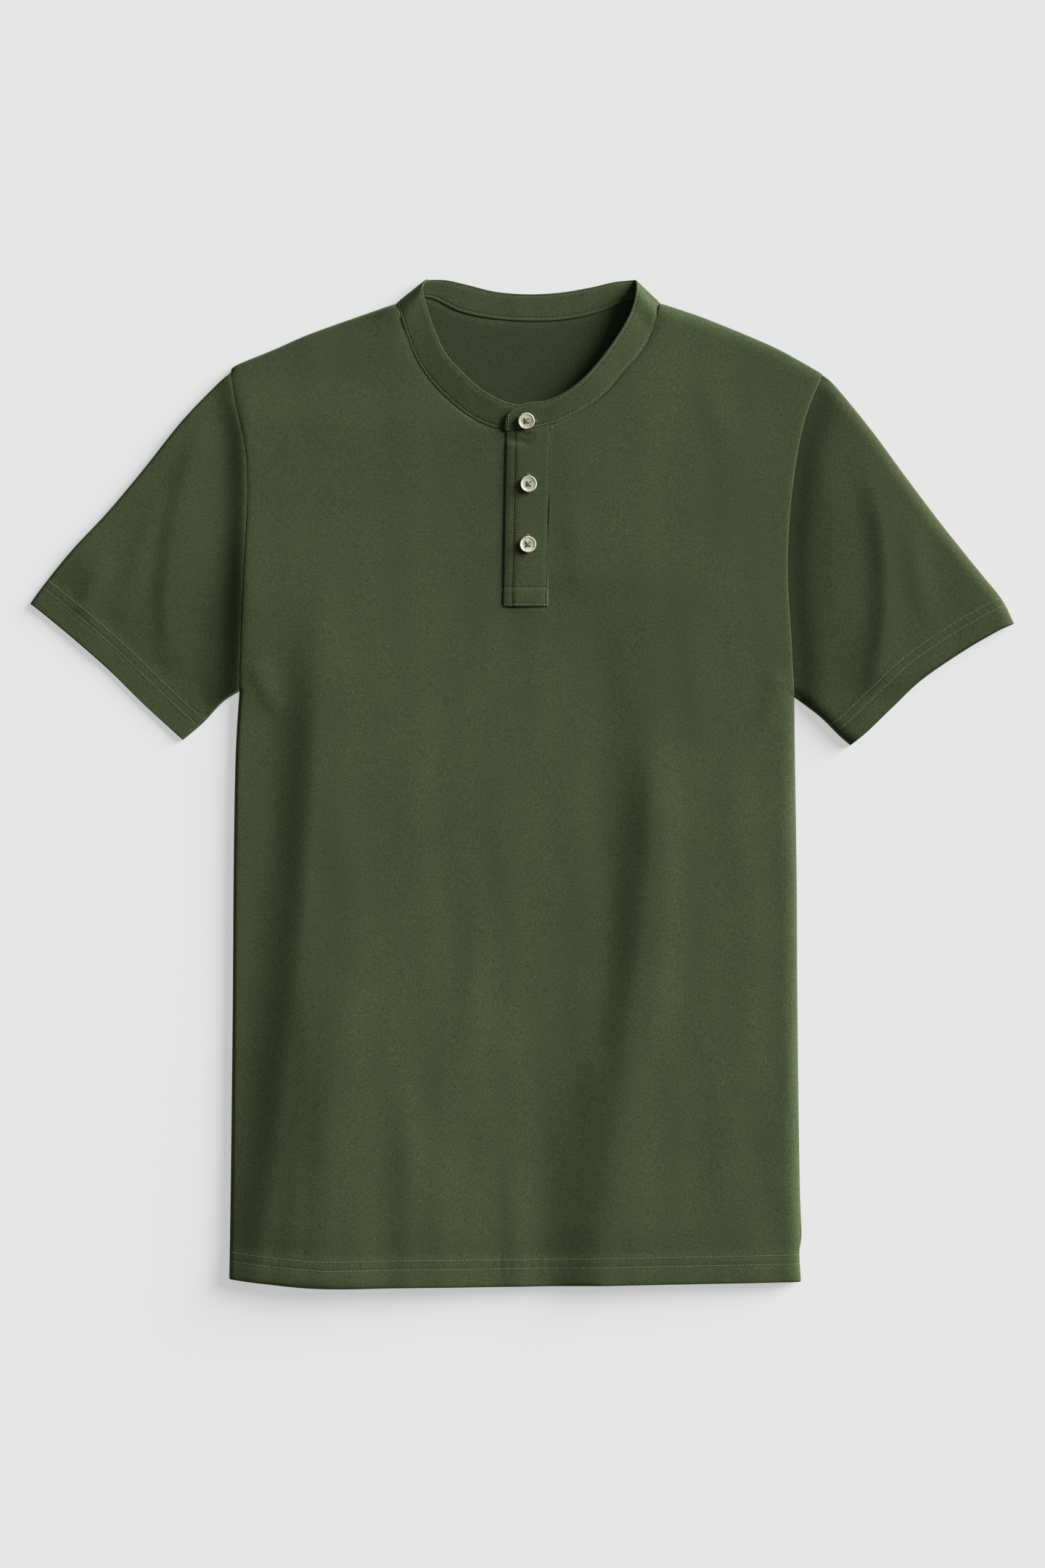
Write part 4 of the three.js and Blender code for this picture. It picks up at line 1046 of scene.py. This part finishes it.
def makeUnderStrip():
    neck = neckline(0, rightTurn, 500)
    tail = neck[0] + np.array([[1.5, 0.1], [4, 0.2]])
    leftX = lambda y: freeEdgeX(y) + placket["overhang"] + seamGap
    x, y = stripGrid(leftX, lambda y: sewnEdgeX(y) - placket["underShort"], np.vstack([tail, neck]))
    points = np.stack([x, y, clothTop(x, y, fine=False)], -1).reshape(-1, 3)
    points, faces = shellFrom(points, gridFaces(*x.shape), clothThickness)
    made = makeObject("placket_under_cloth", points, faces, [bandCloth])
    return finishPiece(made, ["placket_under"])


makeUnderStrip()
makeUpperStrip()
print("placket made")


# Sewing: one Geometry Nodes tree lays stitches along paths, and crosswise ones round the buttonholes
topstitch = {"pitch": 1.9, "length": 1.45, "radius": 0.27, "jitter": 0.12, "seed": 4, "crosswise": False}
overcast = {"pitch": 0.36, "length": 1.3, "radius": 0.24, "jitter": 0.12, "seed": 9, "crosswise": True}


def stitchTree():
    tree = bpy.data.node_groups.new("stitches", "GeometryNodeTree")
    face = tree.interface
    face.new_socket("Paths", in_out="INPUT", socket_type="NodeSocketGeometry")
    for label, kind in (("Pitch", "Float"), ("Length", "Float"), ("Radius", "Float"), ("Jitter", "Float"),
                        ("Turn", "Float"), ("Seed", "Int"), ("Thread", "Material")):
        face.new_socket(label, in_out="INPUT", socket_type="NodeSocket" + kind)
    face.new_socket("Stitches", in_out="OUTPUT", socket_type="NodeSocketGeometry")
    source = addNode(tree, "NodeGroupInput").outputs
    curves = addNode(tree, "GeometryNodeMeshToCurve", {"Mesh": source["Paths"]})
    spaced = addNode(tree, "GeometryNodeResampleCurve", {
        "Curve": curves.outputs["Curve"], "Length": source["Pitch"]}, mode="LENGTH")
    tangent = addNode(tree, "GeometryNodeInputTangent").outputs["Tangent"]
    turned = addNode(tree, "ShaderNodeVectorRotate", {
        "Vector": tangent, "Angle": source["Turn"]}, rotation_type="Z_AXIS")
    lying = addNode(tree, "FunctionNodeAlignRotationToVector", {"Vector": turned.outputs["Vector"]}, axis="Z")
    ball = addNode(tree, "GeometryNodeMeshUVSphere", {"Segments": 6, "Rings": 4, "Radius": 1.0})
    halfLength = addNode(tree, "ShaderNodeMath", {0: source["Length"], 1: 0.5}, operation="MULTIPLY")
    low = addNode(tree, "ShaderNodeMath", {0: 1.0, 1: source["Jitter"]}, operation="SUBTRACT")
    high = addNode(tree, "ShaderNodeMath", {0: 1.0, 1: source["Jitter"]}, operation="ADD")
    uneven = addNode(tree, "FunctionNodeRandomValue", {"Seed": source["Seed"]}, data_type="FLOAT")
    tree.links.new(low.outputs["Value"], uneven.inputs[2])
    tree.links.new(high.outputs["Value"], uneven.inputs[3])
    reach = addNode(tree, "ShaderNodeMath", {
        0: halfLength.outputs["Value"], 1: uneven.outputs[1]}, operation="MULTIPLY")
    size = addNode(tree, "ShaderNodeCombineXYZ", {
        "X": source["Radius"], "Y": source["Radius"], "Z": reach.outputs["Value"]})
    placed = addNode(tree, "GeometryNodeInstanceOnPoints", {
        "Points": spaced.outputs["Curve"], "Instance": ball.outputs["Mesh"],
        "Rotation": lying.outputs["Rotation"], "Scale": size.outputs["Vector"]})
    real = addNode(tree, "GeometryNodeRealizeInstances", {"Geometry": placed.outputs["Instances"]})
    shaded = addNode(tree, "GeometryNodeSetShadeSmooth", {"Geometry": real.outputs["Geometry"]})
    painted = addNode(tree, "GeometryNodeSetMaterial", {
        "Geometry": shaded.outputs["Geometry"], "Material": source["Thread"]})
    addNode(tree, "NodeGroupOutput", {"Stitches": painted.outputs["Geometry"]})
    return tree


def sew(name, paths, settings, tree):
    points, edges = [], []
    for path in paths:
        start = len(points)
        points += [tuple(p) for p in np.asarray(path) * mm]
        edges += [(k, k + 1) for k in range(start, len(points) - 1)]
    mesh = bpy.data.meshes.new(name + "_paths")
    mesh.from_pydata(points, edges, [])
    carrier = bpy.data.objects.new(name + "_paths", mesh)
    bpy.context.collection.objects.link(carrier)
    modifier = carrier.modifiers.new("stitches", "NODES")
    modifier.node_group = tree
    sockets = {s.name: s.identifier for s in tree.interface.items_tree if s.in_out == "INPUT"}
    modifier[sockets["Pitch"]] = settings["pitch"] * mm
    modifier[sockets["Length"]] = settings["length"] * mm
    modifier[sockets["Radius"]] = settings["radius"] * mm
    modifier[sockets["Jitter"]] = settings["jitter"]
    modifier[sockets["Turn"]] = math.pi / 2 if settings["crosswise"] else 0.0
    modifier[sockets["Seed"]] = settings["seed"]
    modifier[sockets["Thread"]] = threadFinish
    evaluated = carrier.evaluated_get(bpy.context.evaluated_depsgraph_get())
    result = bpy.data.meshes.new_from_object(evaluated)
    bpy.data.objects.remove(carrier)
    made = bpy.data.objects.new(name, result)
    bpy.context.collection.objects.link(made)
    return finishPiece(made, [])


def backFrom(grid, distance):
    # A row across a grid, at a distance from its last edge along each of its columns.
    row = []
    for column in range(1, grid.shape[1] - 1):
        line = grid[::-1, column]
        row.append(resample(line, [distance / lengthsAlong(line)[-1]])[0])
    return np.array(row)


def onTop(row, surface, lift):
    return np.column_stack([row, surface(row[:, 0], row[:, 1]) + lift])


def bandRow(inset, side, low=0.0, high=1.0):
    t = bandParameters[(bandParameters >= low) & (bandParameters <= high)]
    width = np.linalg.norm(bandAt(t, np.ones_like(t)) - bandAt(t, np.zeros_like(t)), axis=-1)
    w = inset / width if inset > 0 else 1 + inset / width
    half = bandHalfThickness(width, w * width)
    middle = bandAt(t, w)
    ease = handUnevenness(middle[:, 0] * 1.7, middle[:, 1] * 1.7) * 0.7
    return middle + bandNormal(t, w) * (side * (half + 0.02) + ease)[:, None]


def sewTopstitching(tree):
    lift = 0.03
    paths = []
    for distance in panel["hemRows"]:
        row = backFrom(lowerPart, distance)
        paths.append(onTop(row, lambda x, y: frontTop(x, y) + hemRelief(x, y), lift))
    for name, side in (("sleeve_right", wearersRight), ("sleeve_left", wearersLeft)):
        surface = lambda x, y, side=side: finishedSleeveTop(side, x, y)
        for distance in sleeve["hemRows"]:
            row = backFrom(sleeveGrids[name], distance + 0.4)
            paths.append(onTop(row[2:-2], surface, lift))
    share = 1 / (stationCount - 1)
    tabEnd = 1 - 0.95 * share
    for inset in (band["stitchInset"], -band["stitchInset"]):
        paths.append(bandRow(inset, 1, 1.6 * share, (rightTurn - 0.4) * share))
        paths.append(bandRow(inset, -1, (rightTurn + 0.8) * share, (leftTurn - 0.8) * share))
        paths.append(bandRow(inset, 1, (leftTurn + 0.4) * share, tabEnd))
    t = np.full(12, tabEnd)
    w = np.linspace(0.16, 0.84, 12)
    width = np.linalg.norm(bandAt(t, np.ones(12)) - bandAt(t, np.zeros(12)), axis=-1)
    paths.append(bandAt(t, w) + bandNormal(t, w) * (bandHalfThickness(width, w * width) + 0.05)[:, None])
    y = np.linspace(254.4, 129.6, 80)
    paths.append(onTop(np.column_stack([freeEdgeX(y) + strip["leftRow"], y]), upperStripTop, lift))
    paths.append(onTop(np.column_stack([sewnEdgeX(y) - strip["rightRow"], y]), upperStripTop, -0.1))
    for row in strip["boxRows"]:
        boxY = placket["bottom"] + seamGap + row
        x = np.linspace(freeEdgeX(boxY) + 1.2, sewnEdgeX(boxY) - strip["rightRow"], 30)
        paths.append(onTop(np.column_stack([x, np.full(30, boxY)]), upperStripTop, lift))
    return sew("topstitching", paths, topstitch, tree)


# Buttons with their thread, and buttonholes
button = {
    "radius": 5.95,
    "rim": 1.0,
    "thickness": 2.0,
    "dish": 0.35,
    "hole": 0.72,
    "spacing": 1.4,
    "segments": 64,
    "threadRadius": 0.21,
}
buttonPlaces = [
    {"node": "button_top", "holeTurn": 0, "holeReach": (-6.2, 7.2)},
    {"node": "button_middle", "holeTurn": 90, "holeReach": (-6.4, 7.4)},
    {"node": "button_lower", "holeTurn": 90, "holeReach": (-6.4, 7.2)},
]
tree = stitchTree()
sewTopstitching(tree)
print("topstitching sewn")


def buttonFrame(node):
    # The button's seat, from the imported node: its centre and the way it faces.
    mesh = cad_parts[node].data
    points = np.array([v.co[:] for v in mesh.vertices]) / mm
    centre = (points.min(axis=0) + points.max(axis=0)) / 2
    areas = np.array([p.area for p in mesh.polygons])
    normals = np.array([p.normal[:] for p in mesh.polygons])
    top = normals[:, 2] > 0.9
    facing = (normals[top] * areas[top, None]).sum(axis=0)
    facing /= np.linalg.norm(facing)
    across = np.array([1.0, 0, 0]) - facing * facing[0]
    across /= np.linalg.norm(across)
    along = np.cross(facing, across)
    low = (points @ facing).min()
    centre = centre + facing * (low - centre @ facing)
    return centre, across, along, facing


def makeButton(place):
    centre, across, along, facing = buttonFrame(place["node"])
    r, rim, high, dish = button["radius"], button["rim"], button["thickness"], button["dish"]
    floorZ = high - dish
    profile = np.array([
        (r * 0.70, 0.0), (r * 0.86, 0.05 * high), (r * 0.95, 0.2 * high), (r, 0.48 * high),
        (r * 0.992, 0.7 * high), (r * 0.965, 0.88 * high), (r - rim * 0.35, high), (r - rim * 0.7, high), (r - rim * 1.05, floorZ + dish * 0.62),
        (r - rim * 1.45, floorZ + dish * 0.2), (r - rim * 2, floorZ)])
    angle = np.linspace(0, 2 * math.pi, button["segments"], endpoint=False)
    rings = [np.column_stack([p[0] * np.cos(angle), p[0] * np.sin(angle), np.full(len(angle), p[1])]) for p in profile]
    local = np.concatenate(rings + [[(0, 0, 0)], [(0, 0, floorZ)]])
    n = len(angle)
    faces = []
    for k in range(len(profile) - 1):
        for i in range(n):
            m = (i + 1) % n
            faces.append((k * n + i, k * n + m, (k + 1) * n + m, (k + 1) * n + i))
    last = (len(profile) - 1) * n
    for i in range(n):
        m = (i + 1) % n
        faces.append((m, i, len(local) - 2))
        faces.append((last + i, last + m, len(local) - 1))
    toPlace = np.stack([across, along, facing])
    made = makeObject(place["node"] + "_horn", centre + local @ toPlace, faces, [hornFinish])
    for sx in (-1, 1):
        for sy in (-1, 1):
            drill(made, centre + toPlace.T @ (sx * button["spacing"], sy * button["spacing"], high / 2), facing)
    made.data.set_sharp_from_angle(angle=math.radians(38))
    finishPiece(made, [place["node"]])
    return centre, toPlace, floorZ


def drill(made, at, facing):
    angle = np.linspace(0, 2 * math.pi, 20, endpoint=False)
    side = np.cross(facing, (0, 1.0, 0))
    side /= np.linalg.norm(side)
    other = np.cross(facing, side)
    ring = (np.cos(angle)[:, None] * side + np.sin(angle)[:, None] * other) * button["hole"]
    reach = facing * button["thickness"] * 1.5
    points = np.concatenate([at + ring - reach, at + ring + reach])
    faces = [(i, (i + 1) % 20, (i + 1) % 20 + 20, i + 20) for i in range(20)]
    faces += [list(range(19, -1, -1)), list(range(20, 40))]
    tool = makeObject("drill", points, faces, smoothShade=False)
    cut = made.modifiers.new("hole", "BOOLEAN")
    cut.operation = "DIFFERENCE"
    cut.object = tool
    cut.solver = "EXACT"
    result = bpy.data.meshes.new_from_object(made.evaluated_get(bpy.context.evaluated_depsgraph_get()))
    made.modifiers.clear()
    made.data = result
    bpy.data.objects.remove(tool)


def threadStrands(centre, toPlace, floorZ):
    # Two crossing pairs of strands over the dish, each down into its holes.
    paths = []
    s = button["spacing"]
    for sx, sy in ((1, 1), (1, -1)):
        for offset in (-0.24, 0.24):
            shift = np.array([-sy, sx]) * offset / math.sqrt(2)
            a = np.array([-sx * s, -sy * s]) + shift
            b = np.array([sx * s, sy * s]) + shift
            humps = [(a * 1.02, 0.5), (a, floorZ - 0.1), (a * 0.86, floorZ + 0.24), ((a + b) / 2, floorZ + 0.42),
                     (b * 0.86, floorZ + 0.24), (b, floorZ - 0.1), (b * 1.02, 0.5)]
            line = np.array([(x, y, z) for (x, y), z in humps])
            paths.append(centre + line @ toPlace)
    return paths


def tubesAlong(name, paths, radius, sides=8, steps=16):
    points, faces = [], []
    for path in paths:
        line = splineAt(path, np.linspace(0, 1, steps))
        ahead = np.gradient(line, axis=0)
        ahead /= np.linalg.norm(ahead, axis=1, keepdims=True)
        side = np.cross(ahead, (0.13, 0.21, 1.0))
        side /= np.linalg.norm(side, axis=1, keepdims=True)
        up = np.cross(side, ahead)
        angle = np.linspace(0, 2 * math.pi, sides, endpoint=False)
        start = len(points)
        for k in range(steps):
            points += list(line[k] + radius * (np.cos(angle)[:, None] * side[k] + np.sin(angle)[:, None] * up[k]))
        for k in range(steps - 1):
            for i in range(sides):
                a, b = start + k * sides + i, start + k * sides + (i + 1) % sides
                faces.append((a, b, b + sides, a + sides))
        faces.append([start + i for i in range(sides)][::-1])
        faces.append([start + (steps - 1) * sides + i for i in range(sides)])
    return makeObject(name, np.array(points), faces, [threadFinish])


def tabTop(x, y):
    # Top of the neckband's tab, from its nearest points.
    t, w = np.meshgrid(np.linspace(1 - 6 / (stationCount - 1), 1, 240), np.linspace(0, 1, 60), indexing="ij")
    middle = bandAt(t, w).reshape(-1, 3)
    away = np.hypot(x[:, None] - middle[None, :, 0], y[:, None] - middle[None, :, 1])
    return middle[away.argmin(axis=1), 2] + band["thickness"] / 2


def buttonholePaths():
    paths = []
    for place in buttonPlaces:
        low, high = (Vector(c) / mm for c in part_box(place["node"]))
        cx, cy = (low.x + high.x) / 2, (low.y + high.y) / 2
        a, b = place["holeReach"]
        for side in (-0.55, 0.55):
            reach = np.linspace(a, b, 60)
            if place["holeTurn"]:
                x, y = cx + side + 0 * reach, cy + reach
                z = upperStripTop(x, y) + 0.08
            else:
                x, y = cx + reach, cy + side + 0.06 * reach
                z = tabTop(x, y) + 0.12
            paths.append(np.column_stack([x, y, z]))
    return paths


strands = []
for place in buttonPlaces:
    strands += threadStrands(*makeButton(place))
finishPiece(tubesAlong("button_thread", strands, button["threadRadius"]), [])
sew("buttonholes", buttonholePaths(), overcast, tree)
print("buttons and buttonholes made")
